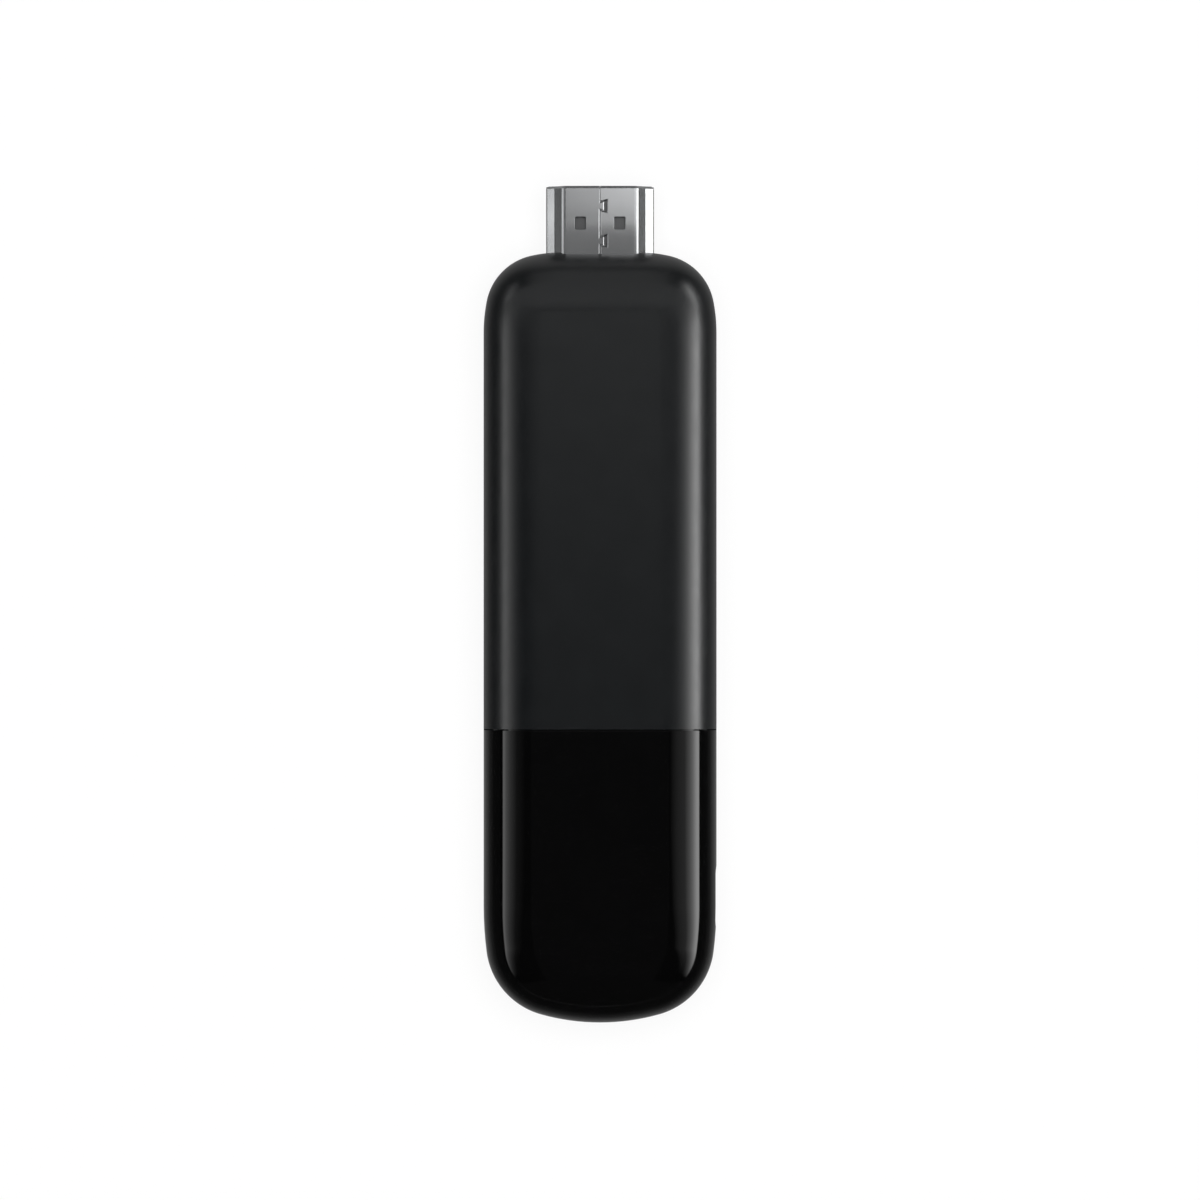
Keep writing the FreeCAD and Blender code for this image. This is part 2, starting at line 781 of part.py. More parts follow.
def make_hdmi_insulator():
    """The moulded core of the plug, with the mating mouth and a slot for each row of contacts."""
    body = new_body("hdmi_insulator")
    sketch = new_sketch(body, "XZ_Plane", f"-({TIP} - sizes.mouth_setback)")
    clearance = "sizes.plug_sheet + sizes.insulator_clearance"
    offset_corners(sketch, plug_corners(), clearance, inward=True)
    pad(body, sketch, f"{TIP} - sizes.mouth_setback - {BOARD_EDGE}")

    mouth = new_sketch(body, "XZ_Plane", f"-({TIP})")
    half_width = "sizes.mouth_width / 2"
    low = f"{MIDDLE} - sizes.mouth_height / 2"
    high = f"{MIDDLE} + sizes.mouth_height / 2"
    right = [
        (half_width, low),
        (half_width, f"{high} - sizes.mouth_corner"),
        (f"{half_width} - sizes.mouth_corner", high),
    ]
    left = [(f"-({x})", z) for x, z in reversed(right)]
    polygon(mouth, right + left)
    pocket(body, mouth, "sizes.mouth_setback + sizes.mouth_depth", backward=True)

    for _, side, count in HDMI_ROWS:
        slot = new_sketch(body, "YZ_Plane")
        contact_profile(slot, side)
        row_width = f"({count} - 1) * sizes.contact_pitch + sizes.contact_width"
        pocket(body, slot, row_width, centred=True)

    latch_y = f"{TIP} - sizes.latch_from_tip - sizes.latch_length / 2"
    face_inside = "sizes.plug_sheet + sizes.insulator_clearance"
    for side in (1, -1):
        x = f"{side} * sizes.latch_spacing / 2 - sizes.latch_width / 2"
        front = f"{MIDDLE} + sizes.plug_height / 2 - ({face_inside}) - sizes.latch_relief"
        rear = f"{MIDDLE} - sizes.plug_height / 2"
        depth = f"{face_inside} + sizes.latch_relief"
        block(body, x, latch_y, front, "sizes.latch_width", "sizes.latch_length", depth, cut=True)
        block(body, x, latch_y, rear, "sizes.latch_width", "sizes.latch_length", depth, cut=True)


def make_hdmi_contacts():
    for label, side, count in HDMI_ROWS:
        body = new_body(label, several=True)
        sketch = new_sketch(body, "YZ_Plane", row_start("sizes.contact_pitch", count))
        contact_profile(sketch, side)
        first = pad(body, sketch, "sizes.contact_width", centred=True)
        repeat(body, [first], "X_Axis", "sizes.contact_pitch", count)


# Power port

def port_corners():
    """Corners of the port's steel tube in Y and Z, with the wide side to the front."""
    high = f"{MIDDLE} + sizes.port_height / 2"
    side = [
        ("sizes.port_floor_width / 2", f"{MIDDLE} - sizes.port_height / 2"),
        ("sizes.port_width / 2", f"{high} - sizes.port_side_height"),
        ("sizes.port_width / 2", high),
    ]
    right = [(f"sizes.port_station + {y}", z) for y, z in side]
    left = [(f"sizes.port_station - {y}", z) for y, z in reversed(side)]
    return right + left


def make_port_shell():
    body = new_body("usb_shell")
    sketch = new_sketch(body, "YZ_Plane", PORT_MOUTH)
    polygon(sketch, port_corners())
    solid = pad(body, sketch, "sizes.port_depth", backward=True)
    round_off(body, solid, "sizes.port_bend_radius", runs_along(0))
    inside = new_sketch(body, "YZ_Plane", PORT_MOUTH)
    offset_corners(inside, port_corners(), "sizes.port_sheet", inward=True)
    pocket(body, inside, "sizes.port_depth")
    tab_x = f"{PORT_REAR} + sizes.port_tab_length / 2"
    tab_length = "sizes.port_tab_reach + sizes.port_sheet / 2"
    for y in (
        "sizes.port_station + sizes.port_width / 2 - sizes.port_sheet / 2",
        "sizes.port_station - sizes.port_width / 2 - sizes.port_tab_reach",
    ):
        block(body, tab_x, y, BOARD_TOP, "sizes.port_tab_length", tab_length, "sizes.port_sheet")


def port_contact_profile(sketch):
    """One bent contact of the port in X and Z."""
    thick = "sizes.port_contact_thickness"
    low = f"{MIDDLE} + sizes.port_contact_drop"
    front = f"{PORT_MOUTH} - sizes.port_tongue_setback - sizes.port_contact_width"
    jog = f"{PORT_REAR} + {thick}"
    tail = f"{PORT_REAR} - sizes.port_contact_tail"
    path = [
        (front, low),
        (front, f"{low} + {thick}"),
        (f"{jog} + {thick}", f"{low} + {thick}"),
        (f"{jog} + {thick}", f"{BOARD_TOP} + {thick}"),
        (tail, f"{BOARD_TOP} + {thick}"),
        (tail, BOARD_TOP),
        (jog, BOARD_TOP),
        (jog, low),
    ]
    polygon(sketch, path)


def port_row_start():
    first = row_start("sizes.port_contact_pitch", "sizes.port_contact_count")
    return f"-(sizes.port_station + {first})"


def make_port_insulator():
    """The block that closes the rear of the port, with the tongue that carries its contacts."""
    body = new_body("usb_insulator")
    sketch = new_sketch(body, "YZ_Plane", PORT_REAR)
    offset_corners(sketch, port_corners(), "sizes.port_sheet + sizes.insulator_clearance", inward=True)
    pad(body, sketch, "sizes.port_block_depth")
    tongue_low = f"{MIDDLE} + sizes.port_contact_drop + sizes.port_contact_thickness"
    block(
        body,
        PORT_REAR,
        "sizes.port_station - sizes.port_tongue_width / 2",
        tongue_low,
        "sizes.port_depth - sizes.port_tongue_setback",
        "sizes.port_tongue_width",
        "sizes.port_tongue_thickness",
    )
    slot = new_sketch(body, "XZ_Plane", "-sizes.port_station")
    port_contact_profile(slot)
    row_width = "(sizes.port_contact_count - 1) * sizes.port_contact_pitch + sizes.port_contact_width"
    pocket(body, slot, row_width, centred=True)


def make_port_contacts():
    body = new_body("usb_contacts", several=True)
    sketch = new_sketch(body, "XZ_Plane", port_row_start())
    port_contact_profile(sketch)
    first = pad(body, sketch, "sizes.port_contact_width", centred=True)
    repeat(body, [first], "Y_Axis", "sizes.port_contact_pitch", "sizes.port_contact_count")


# Housing

def hook_corners():
    """One snap hook in X and Z: a tongue with a barb that points outwards."""
    outer = "sizes.body_width / 2 - sizes.wall - sizes.hook_clearance"
    inner = f"{outer} - sizes.hook_thickness"
    tip = f"{MIDDLE} - sizes.hook_reach"
    bite = f"{outer} + sizes.hook_clearance + sizes.hook_bite"
    return [
        (inner, f"{MIDDLE} + sizes.hook_root"),
        (inner, f"{tip} + sizes.hook_nose"),
        (f"{inner} + sizes.hook_thickness / 2", tip),
        (bite, f"{tip} + sizes.hook_ramp"),
        (bite, f"{tip} + sizes.hook_ramp + sizes.hook_land"),
        (outer, f"{tip} + sizes.hook_ramp + sizes.hook_land"),
        (outer, f"{MIDDLE} + sizes.hook_root"),
    ]


def tongue_block(name, inset, low, length):
    """A tool body inside the housing's straight stretch, its long edges rounded like the housing."""
    tool = new_tool(name)
    half = f"(sizes.body_width / 2 - {inset})"
    solid = block(tool, f"-{half}", low, MIDDLE, f"{half} * 2", length, f"{MIDDLE} - {inset}")
    top = value(f"sizes.body_thickness - {inset}")

    def long_edge(edge):
        return runs_along(1)(edge) and abs(edge.CenterOfMass.z - top) < 0.01

    round_off(tool, solid, f"{ROUND} - {inset}", long_edge)
    return tool


def front_groove(body):
    """The groove along the parting line that the rear cover's lip fits into."""
    groove = new_sketch(body, "XY_Plane", MIDDLE)
    outline(groove, "sizes.wall - sizes.lip_thickness - sizes.lip_clearance")
    pocket(body, groove, "sizes.lip_height + sizes.lip_clearance", backward=True)


def hook_pair(body, station):
    hooks = new_sketch(body, "XZ_Plane", f"-({station})")
    polygon(hooks, hook_corners())
    polygon(hooks, [(f"-({x})", z) for x, z in reversed(hook_corners())])
    return pad(body, hooks, "sizes.hook_width", centred=True)


def make_front_cover():
    """The matt front moulding: rounded shell with a rebate for the cap's tongue, hooks, ribs and saddle."""
    body = new_body("front_cover")
    half_housing(body, front=True)
    cut_away(body, "-1", "sizes.gloss_length + 1")
    length = "1 + sizes.tongue_length + sizes.tongue_clearance"
    rebate = tongue_block("tongue_rebate", "sizes.tongue_depth", "sizes.gloss_length - 1", length)
    combine(body, rebate, "Cut")
    cavity(body, front=True)
    front_groove(body)
    first = hook_pair(body, "sizes.hook_first + sizes.hook_spacing")
    repeat(body, [first], "Y_Axis", "sizes.hook_spacing", "sizes.hook_count - 1")
    plate_face = f"{FRONT_PLATE} + sizes.spreader_sheet"
    rib_start = "sizes.gloss_length + sizes.tongue_length + sizes.rib_thickness"
    ribs(body, rib_start, plate_face, f"{ROOF} - ({plate_face})")
    saddle(body, MIDDLE, f"{ROOF} - {MIDDLE}")
    for side in (1, -1):
        x = f"{side} * sizes.rear_post_spacing / 2"
        post(body, x, REAR_POSTS, BOARD_TOP, f"{ROOF} - ({BOARD_TOP})")
    plug_opening(body)
    for side, length in ((-1, "sizes.pry_left_length"), (1, "sizes.pry_right_length")):
        x = f"{side} * sizes.body_width / 2 - sizes.pry_depth"
        y = f"sizes.pry_station - {length} / 2"
        block(body, x, y, MIDDLE, "sizes.pry_depth * 2", length, "sizes.pry_height", cut=True)


def make_gloss_cap():
    """The gloss front moulding at the closed end, with its tongue, port opening, hooks and board posts."""
    body = new_body("gloss_cap")
    half_housing(body, front=True)
    edge = "sizes.gloss_length - sizes.gloss_gap"
    cut_away(body, edge, "sizes.body_length")
    inset = "(sizes.tongue_depth + sizes.tongue_clearance)"
    tongue_length = "sizes.tongue_root + sizes.gloss_gap + sizes.tongue_length"
    tongue = tongue_block("tongue", inset, f"{edge} - sizes.tongue_root", tongue_length)
    combine(body, tongue, "Fuse")
    cavity(body, front=True)
    front_groove(body)
    hook_pair(body, "sizes.hook_first")
    for side in (1, -1):
        x = f"{side} * sizes.post_spacing / 2"
        post(body, x, "sizes.post_station", BOARD_TOP, f"{ROOF} - ({BOARD_TOP})")
        socket = "(sizes.pin_radius + sizes.pin_clearance) * 2"
        depth = "sizes.pin_rise + sizes.pin_clearance"
        low_y = f"sizes.post_station - {socket} / 2"
        block(body, f"{x} - {socket} / 2", low_y, BOARD_TOP, socket, socket, depth, cut=True)
    port_opening(body)


def ribs(body, start, z, height):
    """Ribs along the cover that bear on the heat spreader."""
    length = f"{SHIELD_END} + sizes.rib_overhang - ({start})"
    first = row_start("sizes.rib_spacing", "sizes.rib_count")
    for place in range(round(value("sizes.rib_count"))):
        x = f"{first} + {place} * sizes.rib_spacing - sizes.rib_thickness / 2"
        block(body, x, start, z, "sizes.rib_thickness", length, height)


def post(body, x, y, z, height):
    """A square post between a cover and the board, with its centre at x, y."""
    side = "sizes.post_side"
    block(body, f"{x} - {side} / 2", f"{y} - {side} / 2", z, side, side, height)


def saddle(body, z, height):
    """The bridge behind the end wall that the plug's tube is bedded in."""
    x = "-sizes.saddle_width / 2"
    y = "sizes.body_length - sizes.saddle_set_back - sizes.saddle_length"
    block(body, x, y, z, "sizes.saddle_width", "sizes.saddle_length", height)


def make_rear_cover():
    """The rear moulding: rounded shell with a lip, hook catches, ribs, a saddle and posts for the board."""
    body = new_body("rear_cover")
    half_housing(body, front=False)
    cavity(body, front=False)
    lip = new_sketch(body, "XY_Plane", f"{MIDDLE} - sizes.lip_height")
    outline(lip, "sizes.wall - sizes.lip_thickness")
    pad(body, lip, "sizes.lip_height * 2")
    inside = new_sketch(body, "XY_Plane", MIDDLE)
    outline(inside, "sizes.wall")
    pocket(body, inside, "sizes.lip_height * 2", centred=True)

    rib_start = "sizes.shield_start - sizes.rib_overhang"
    ribs(body, rib_start, FLOOR, f"{REAR_PLATE} - sizes.spreader_sheet - {FLOOR}")
    saddle(body, FLOOR, f"{MIDDLE} - {FLOOR}")
    for side in (1, -1):
        height = f"{BOARD_UNDER} - {FLOOR}"
        post(body, f"{side} * sizes.rear_post_spacing / 2", REAR_POSTS, FLOOR, height)
        x = f"{side} * sizes.post_spacing / 2"
        post(body, x, "sizes.post_station", FLOOR, height)
        rise = "sizes.board_thickness + sizes.pin_rise"
        drum(body, x, "sizes.post_station", BOARD_UNDER, "sizes.pin_radius", rise)
    hook_catches(body)
    plug_opening(body)
    port_opening(body)


def hook_catches(body):
    """Recesses in the side walls that the snap hooks spring into."""
    low = f"{MIDDLE} - sizes.hook_reach - sizes.catch_clearance"
    barb_top = f"{MIDDLE} - sizes.hook_reach + sizes.hook_ramp + sizes.hook_land"
    high = f"{barb_top} + sizes.catch_clearance / 2"
    inner = "sizes.body_width / 2 - sizes.wall - sizes.hook_thickness"
    outer = "sizes.body_width / 2 - sizes.wall + sizes.hook_bite + sizes.catch_clearance / 2"
    sketch = new_sketch(body, "XZ_Plane", "-sizes.hook_first")
    rectangle(sketch, inner, outer, low, high)
    rectangle(sketch, f"-({outer})", f"-({inner})", low, high)
    first = pocket(body, sketch, "sizes.hook_width + sizes.catch_clearance * 2", centred=True)
    repeat(body, [first], "Y_Axis", "sizes.hook_spacing", "sizes.hook_count")


# Main board and what is on it

def make_main_board():
    body = new_body("main_board")
    sketch = new_sketch(body, "XY_Plane", BOARD_UNDER)
    half = "sizes.board_width / 2"
    rectangle(sketch, f"-{half}", half, "sizes.board_start", BOARD_EDGE)
    plate = pad(body, sketch, "sizes.board_thickness")
    start = value("sizes.board_start")
    edge_end = value(BOARD_EDGE)

    def corner_at(station):
        return lambda edge: runs_along(2)(edge) and abs(edge.CenterOfMass.y - station) < 0.01

    rounded = round_off(body, plate, "sizes.board_corner", corner_at(start))
    bevel(body, rounded, "sizes.board_bevel", corner_at(edge_end))

    openings = new_sketch(body, "XY_Plane", f"{BOARD_TOP}")
    reach = "(sizes.port_width / 2 + sizes.port_board_clearance)"
    rectangle(
        openings,
        f"{PORT_REAR} - sizes.port_board_clearance",
        "sizes.body_width / 2",
        f"sizes.port_station - {reach}",
        f"sizes.port_station + {reach}",
    )
    leg_start = f"{PLUG_REAR} - sizes.leg_length * 2"
    for side in (1, -1):
        pin_hole = "sizes.pin_radius + sizes.pin_clearance"
        circle(openings, f"{side} * sizes.post_spacing / 2", "sizes.post_station", pin_hole)
        slot_inner = f"{side} * (sizes.plug_width / 2 - sizes.plug_sheet - sizes.leg_clearance)"
        slot_outer = f"{side} * (sizes.plug_width / 2 + sizes.leg_clearance)"
        rectangle(
            openings,
            slot_inner,
            slot_outer,
            f"{leg_start} - sizes.leg_clearance",
            f"{leg_start} + sizes.leg_length + sizes.leg_clearance",
        )
    pocket(body, openings, "sizes.board_thickness")


def chip(label, x, y, width, length, height, front=True, on=None):
    """A flat part with its centre at x, y, soldered on the front or rear of the board."""
    body = new_body(label)
    base = on or (BOARD_TOP if front else f"{BOARD_UNDER} - {height}")
    block(body, f"{x} - {width} / 2", f"{y} - {length} / 2", base, width, length, height)
    return body


def make_chips():
    chip("soc", "0", SOC, "sizes.soc_side", "sizes.soc_side", "sizes.soc_height")
    chip(
        "storage_chip", "0", "sizes.shield_start + sizes.storage_from_shield",
        "sizes.storage_width", "sizes.storage_length", "sizes.storage_height", front=False,
    )
    chip(
        "radio_module", "0", "sizes.shield_start + sizes.radio_from_shield",
        "sizes.radio_width", "sizes.radio_length", "sizes.radio_height", front=False,
    )
    chip(
        "power_chip", "sizes.power_chip_offset", "sizes.power_chip_station",
        "sizes.power_chip_side", "sizes.power_chip_side", "sizes.power_chip_height",
    )
    chip(
        "crystal", "0", "sizes.shield_start + sizes.crystal_from_shield",
        "sizes.crystal_width", "sizes.crystal_length", "sizes.crystal_height",
    )
    memory = new_body("memory_chips", several=True)
    for x in ("-sizes.memory_gap / 2 - sizes.memory_width", "sizes.memory_gap / 2"):
        y = "sizes.shield_start + sizes.memory_from_shield - sizes.memory_length / 2"
        block(memory, x, y, BOARD_TOP, "sizes.memory_width", "sizes.memory_length", "sizes.memory_height")


def make_small_parts():
    """Inductors in a row beside the power chip, and capacitors in two rows beside the processor."""
    inductors = new_body("inductors", several=True)
    y = "sizes.inductor_station - sizes.inductor_side / 2"
    x = "sizes.inductor_first - sizes.inductor_side / 2"
    side = "sizes.inductor_side"
    first = block(inductors, x, y, BOARD_TOP, side, side, "sizes.inductor_height")
    repeat(inductors, [first], "Y_Axis", "sizes.inductor_spacing", "sizes.inductor_count")
    capacitors = new_body("capacitors", several=True)
    firsts = []
    for place in (1, -1):
        x = f"{place} * sizes.capacitor_offset - sizes.capacitor_width / 2"
        size = ("sizes.capacitor_width", "sizes.capacitor_length", "sizes.capacitor_height")
        y = "sizes.shield_start + sizes.capacitors_from_shield"
        firsts.append(block(capacitors, x, y, BOARD_TOP, *size))
    repeat(capacitors, firsts, "Y_Axis", "sizes.capacitor_spacing", "sizes.capacitor_count")


def make_shield(name, board_face, side, height):
    """A soldered frame and the snapped-on lid over it, on the front (1) or rear (-1) of the board."""
    half = "sizes.shield_width / 2"
    end = SHIELD_END
    backward = side < 0
    frame = new_body(f"{name}_shield_frame")
    ring = new_sketch(frame, "XY_Plane", board_face)
    rectangle(ring, f"-{half}", half, "sizes.shield_start", end)
    inner = f"({half} - sizes.shield_wall)"
    wall = "sizes.shield_wall"
    rectangle(ring, f"-{inner}", inner, f"sizes.shield_start + {wall}", f"{end} - {wall}")
    pad(frame, ring, height, backward=backward)
    low = f"{board_face} + {height} - sizes.shield_wall" if side > 0 else f"{board_face} - {height}"
    y = f"{SHIELD_CENTRE} - sizes.shield_bar / 2"
    block(frame, f"-{half}", y, low, "sizes.shield_width", "sizes.shield_bar", "sizes.shield_wall")

    lid = new_body(f"{name}_shield_lid")
    rim_height = f"{board_face} + {side} * ({height} - sizes.lid_skirt)"
    outer = f"({half} + sizes.lid_sheet)"
    cover = new_sketch(lid, "XY_Plane", rim_height)
    rectangle(cover, f"-{outer}", outer, "sizes.shield_start - sizes.lid_sheet", f"{end} + sizes.lid_sheet")
    solid = pad(lid, cover, "sizes.lid_skirt + sizes.lid_sheet", backward=backward)
    hollow(lid, solid, "sizes.lid_sheet", faces_where(solid, lies_at(2, value(rim_height))))
    slots = new_sketch(lid, "XY_Plane", f"{board_face} + {side} * ({height} + sizes.lid_sheet)")
    row_y = f"{SHIELD_CENTRE} + {row_start('sizes.lid_slot_spacing', 'sizes.lid_slot_count')}"
    for place in (1, -1):
        x = f"{place} * ({half} - sizes.lid_slot_inset)"
        rectangle(
            slots,
            f"{x} - sizes.lid_slot_width / 2",
            f"{x} + sizes.lid_slot_width / 2",
            f"{row_y} - sizes.lid_slot_length / 2",
            f"{row_y} + sizes.lid_slot_length / 2",
        )
    first = pocket(lid, slots, "sizes.lid_sheet", backward=backward)
    repeat(lid, [first], "Y_Axis", "sizes.lid_slot_spacing", "sizes.lid_slot_count")


def make_thermal_pads():
    soc_top = f"{BOARD_TOP} + sizes.soc_height"
    gap = "sizes.front_shield_height - sizes.soc_height"
    side = "sizes.soc_pad_side"
    chip("soc_thermal_pad", "0", SOC, side, side, f"({gap})", on=soc_top)
    pad_length = f"({SHIELD_LENGTH} - sizes.pad_margin * 2)"
    for label, level in (("front_thermal_pad", FRONT_LID), ("rear_thermal_pad", REAR_PLATE)):
        chip(
            label, "0", f"{SHIELD_CENTRE}",
            "sizes.pad_width", pad_length, "sizes.pad_thickness", on=level,
        )


def make_heat_spreader(label, low, flange_low):
    """A pressed aluminium plate with cropped corners and a flange along each side."""
    body = new_body(label)
    sketch = new_sketch(body, "XY_Plane", low)
    half = "sizes.spreader_width / 2"
    start = "sizes.shield_start - sizes.spreader_overhang"
    end = f"{SHIELD_END} + sizes.spreader_overhang"
    rectangle(sketch, f"-{half}", half, start, end)
    plate = pad(body, sketch, "sizes.spreader_sheet")
    bevel(body, plate, "sizes.spreader_corner", runs_along(2))
    for x in (f"-{half}", f"{half} - sizes.spreader_flange_sheet"):
        y = f"{start} + sizes.spreader_corner"
        length = f"{end} - ({start}) - sizes.spreader_corner * 2"
        block(body, x, y, flange_low, "sizes.spreader_flange_sheet", length, "sizes.spreader_flange")


def make_antenna(label, side):
    """A stamped inverted-F antenna: raised strip, ground foot, feed foot and folded tip."""
    body = new_body(label)
    y = "sizes.antenna_station - sizes.antenna_depth / 2"
    depth = "sizes.antenna_depth"
    thick = "sizes.antenna_sheet"
    top = f"{BOARD_TOP} + sizes.antenna_rise"

    def piece(near, length, low, height, depth=depth):
        start = f"sizes.antenna_gap / 2 + {near}"
        x = start if side > 0 else f"-({start}) - {length}"
        block(body, x, y, low, length, depth, height)

    piece("0", "sizes.antenna_width", f"{top} - {thick}", thick)
    piece("0", thick, BOARD_TOP, "sizes.antenna_rise")
    piece("sizes.antenna_feed", thick, BOARD_TOP, "sizes.antenna_rise", "sizes.antenna_feed_width")
    piece(f"sizes.antenna_width - {thick}", thick, f"{top} - sizes.antenna_fold", "sizes.antenna_fold")


def save():
    """Checks every object, then writes each sub-part."""
    doc.recompute()
    for item in doc.Objects:
        if "Invalid" in item.State or "Error" in item.State:
            raise ValueError(f"{item.Label}: {item.State}")
    for part in sub_parts:
        shape = part.Shape
        if shape.isNull() or not shape.isValid():
            raise ValueError(f"{part.Label}: no valid shape")
    os.makedirs("parts", exist_ok=True)
    for part in sub_parts:
        part.Shape.exportStep(f"parts/{part.Label}.step")
        print(part.Label, len(part.Shape.Solids), "solids", round(part.Shape.Volume, 1), "mm3")


make_rear_cover()
make_front_cover()
make_gloss_cap()
make_hdmi_shell()
make_hdmi_insulator()
make_hdmi_contacts()
make_port_shell()
make_port_insulator()
make_port_contacts()
make_main_board()
make_chips()
make_small_parts()
make_shield("front", BOARD_TOP, 1, "sizes.front_shield_height")
make_shield("rear", BOARD_UNDER, -1, "sizes.rear_shield_height")
make_thermal_pads()
make_heat_spreader("front_heat_spreader", FRONT_PLATE, f"{FRONT_PLATE} - sizes.spreader_flange")
make_heat_spreader("rear_heat_spreader", f"{REAR_PLATE} - sizes.spreader_sheet", REAR_PLATE)
make_antenna("left_antenna", -1)
make_antenna("right_antenna", 1)
save()
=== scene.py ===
"""A streaming media stick on a pale studio floor: tools for its pieces, their finishes and the stage."""

import math

import bmesh
import bpy
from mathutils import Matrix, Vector


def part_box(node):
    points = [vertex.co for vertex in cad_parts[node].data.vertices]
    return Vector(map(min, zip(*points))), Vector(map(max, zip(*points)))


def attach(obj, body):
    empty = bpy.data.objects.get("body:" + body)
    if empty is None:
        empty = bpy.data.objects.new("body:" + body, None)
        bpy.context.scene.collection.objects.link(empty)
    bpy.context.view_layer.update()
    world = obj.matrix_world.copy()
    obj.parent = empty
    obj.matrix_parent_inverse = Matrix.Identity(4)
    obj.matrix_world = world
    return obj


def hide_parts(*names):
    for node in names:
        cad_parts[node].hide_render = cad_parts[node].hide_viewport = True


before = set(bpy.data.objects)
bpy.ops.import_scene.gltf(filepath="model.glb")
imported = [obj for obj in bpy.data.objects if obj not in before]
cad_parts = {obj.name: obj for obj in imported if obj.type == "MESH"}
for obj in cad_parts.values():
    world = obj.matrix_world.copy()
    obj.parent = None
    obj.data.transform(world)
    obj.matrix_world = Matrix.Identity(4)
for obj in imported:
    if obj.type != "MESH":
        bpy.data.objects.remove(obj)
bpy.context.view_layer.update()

bl_info = {
    "name": "Streaming media stick",
    "version": (1, 0, 0),
    "blender": (4, 5, 0),
    "location": "3D View > Sidebar > Stick",
    "description": "Builds the stick's housing, plug, port and studio round its CAD parts",
    "category": "Object",
}

MM = 0.001
X, Y, Z = range(3)
WHITE = (1.0, 1.0, 1.0, 1.0)
HOUSING_LOW, HOUSING_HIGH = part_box("rear_cover")
_, CAP_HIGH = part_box("gloss_cap")
PLUG_LOW, PLUG_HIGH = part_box("hdmi_shell")
PORT_LOW, PORT_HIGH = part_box("usb_shell")
THICKNESS = CAP_HIGH.z - HOUSING_LOW.z
PLUG_OUTSIDE, PLUG_INSIDE = 8.5 * MM, 8 * MM
PLUG_ROOT = PLUG_HIGH.y - PLUG_OUTSIDE


def number(name, description, default, **settings):
    return bpy.props.FloatProperty(name=name, description=description, default=default, **settings)


def length(name, description, default):
    """A property in metres, shown in the scene's unit."""
    return number(name, description, default, min=0.0, precision=5, subtype="DISTANCE", unit="LENGTH")


def share(name, description, default):
    return number(name, description, default, min=0.0, max=1.0, precision=3, subtype="FACTOR")


def colour(name, description, default):
    return bpy.props.FloatVectorProperty(
        name=name, description=description, default=default,
        size=3, min=0.0, max=1.0, precision=4, subtype="COLOR",
    )


# Sizes and colours that a user would change

class HousingSizes(bpy.types.PropertyGroup):
    """Form of the moulded housing."""

    parting: length("Parting height", "Height of the parting line over the back", THICKNESS / 2)
    edge_radius: length("Edge rounding", "Radius that rolls the faces over into the sides", 7.4 * MM)
    wall: length("Wall", "Thickness of the rear cover's and the cap's wall", 2.0 * MM)
    front_wall: length("Front wall", "Thickness of the front cover's wall over the cap's tongue", 1.0 * MM)
    crown_radius: length("Crown radius", "Radius of the closed end's crown", 28.2 * MM)
    end_corner: length("End corner", "Radius of the closed end's corners", 9.65 * MM)
    end_side: length("End side radius", "Easing from the closed end's corners into the sides", 46.0 * MM)
    end_straight: length("End easing", "Distance from the closed end to the straight side", 15.0 * MM)
    plug_flat: length("Plug end flat", "Width of the flat that the plug stands on", 9.96 * MM)
    shoulder_radius: length("Shoulder radius", "Radius of the shoulders beside the plug", 17.7 * MM)
    plug_corner: length("Plug end corner", "Radius of the plug end's corners", 7.47 * MM)
    plug_side: length("Plug end side radius", "Easing from the plug end's corners into the sides", 21.0 * MM)
    plug_straight: length("Plug end easing", "Distance from the plug end to the straight side", 10.33 * MM)
    cap_edge: length("Cap length", "Length of the gloss cap from the closed end", 37.8 * MM)
    cap_gap: length("Cap gap", "Width of the joint between the front cover and the cap", 0.10 * MM)
    tongue_depth: length("Tongue depth", "Depth of the cap's tongue under the surface", 1.05 * MM)
    tongue_length: length("Tongue length", "Length of the cap's tongue under the front cover", 2.4 * MM)
    lip_break: length("Edge break", "Rounding of the mouldings' edges", 0.07 * MM)


class PlugSizes(bpy.types.PropertyGroup):
    """Form of the plug's folded sheet."""

    sheet: length("Sheet", "Thickness of the folded sheet", 0.35 * MM)
    narrow_width: length("Narrow face", "Width of the face towards the front", 9.5 * MM)
    bend_width: length("Bend width", "Width at the bend between the two flanks", 11.7 * MM)
    bend_height: length("Bend height", "Height of that bend over the wide face", 2.725 * MM)
    side_height: length("Side height", "Height of the upright sides", 1.925 * MM)
    tip_bevel: length("Tip bevel", "Bevel round the plug's tip", 0.32 * MM)
    window_width: length("Window width", "Width of the latch windows", 1.45 * MM)
    window_length: length("Window length", "Length of the latch windows", 1.65 * MM)
    window_spacing: length("Window spacing", "Distance between the latch windows' centres", 5.06 * MM)
    window_from_tip: length("Window from tip", "Distance from the tip to the windows' centres", 4.8 * MM)
    seam_width: length("Seam width", "Gap between the sheet's two edges", 0.03 * MM)
    edge_break: length("Seam rounding", "Rounding of the sheet's edges at the seam", 0.15 * MM)
    window_break: length("Window rounding", "Rounding of the sheet's edges round the latch windows", 0.23 * MM)
    crown: length("Crown of the face", "Drop of the narrow face from its seam to its bends", 0.10 * MM)


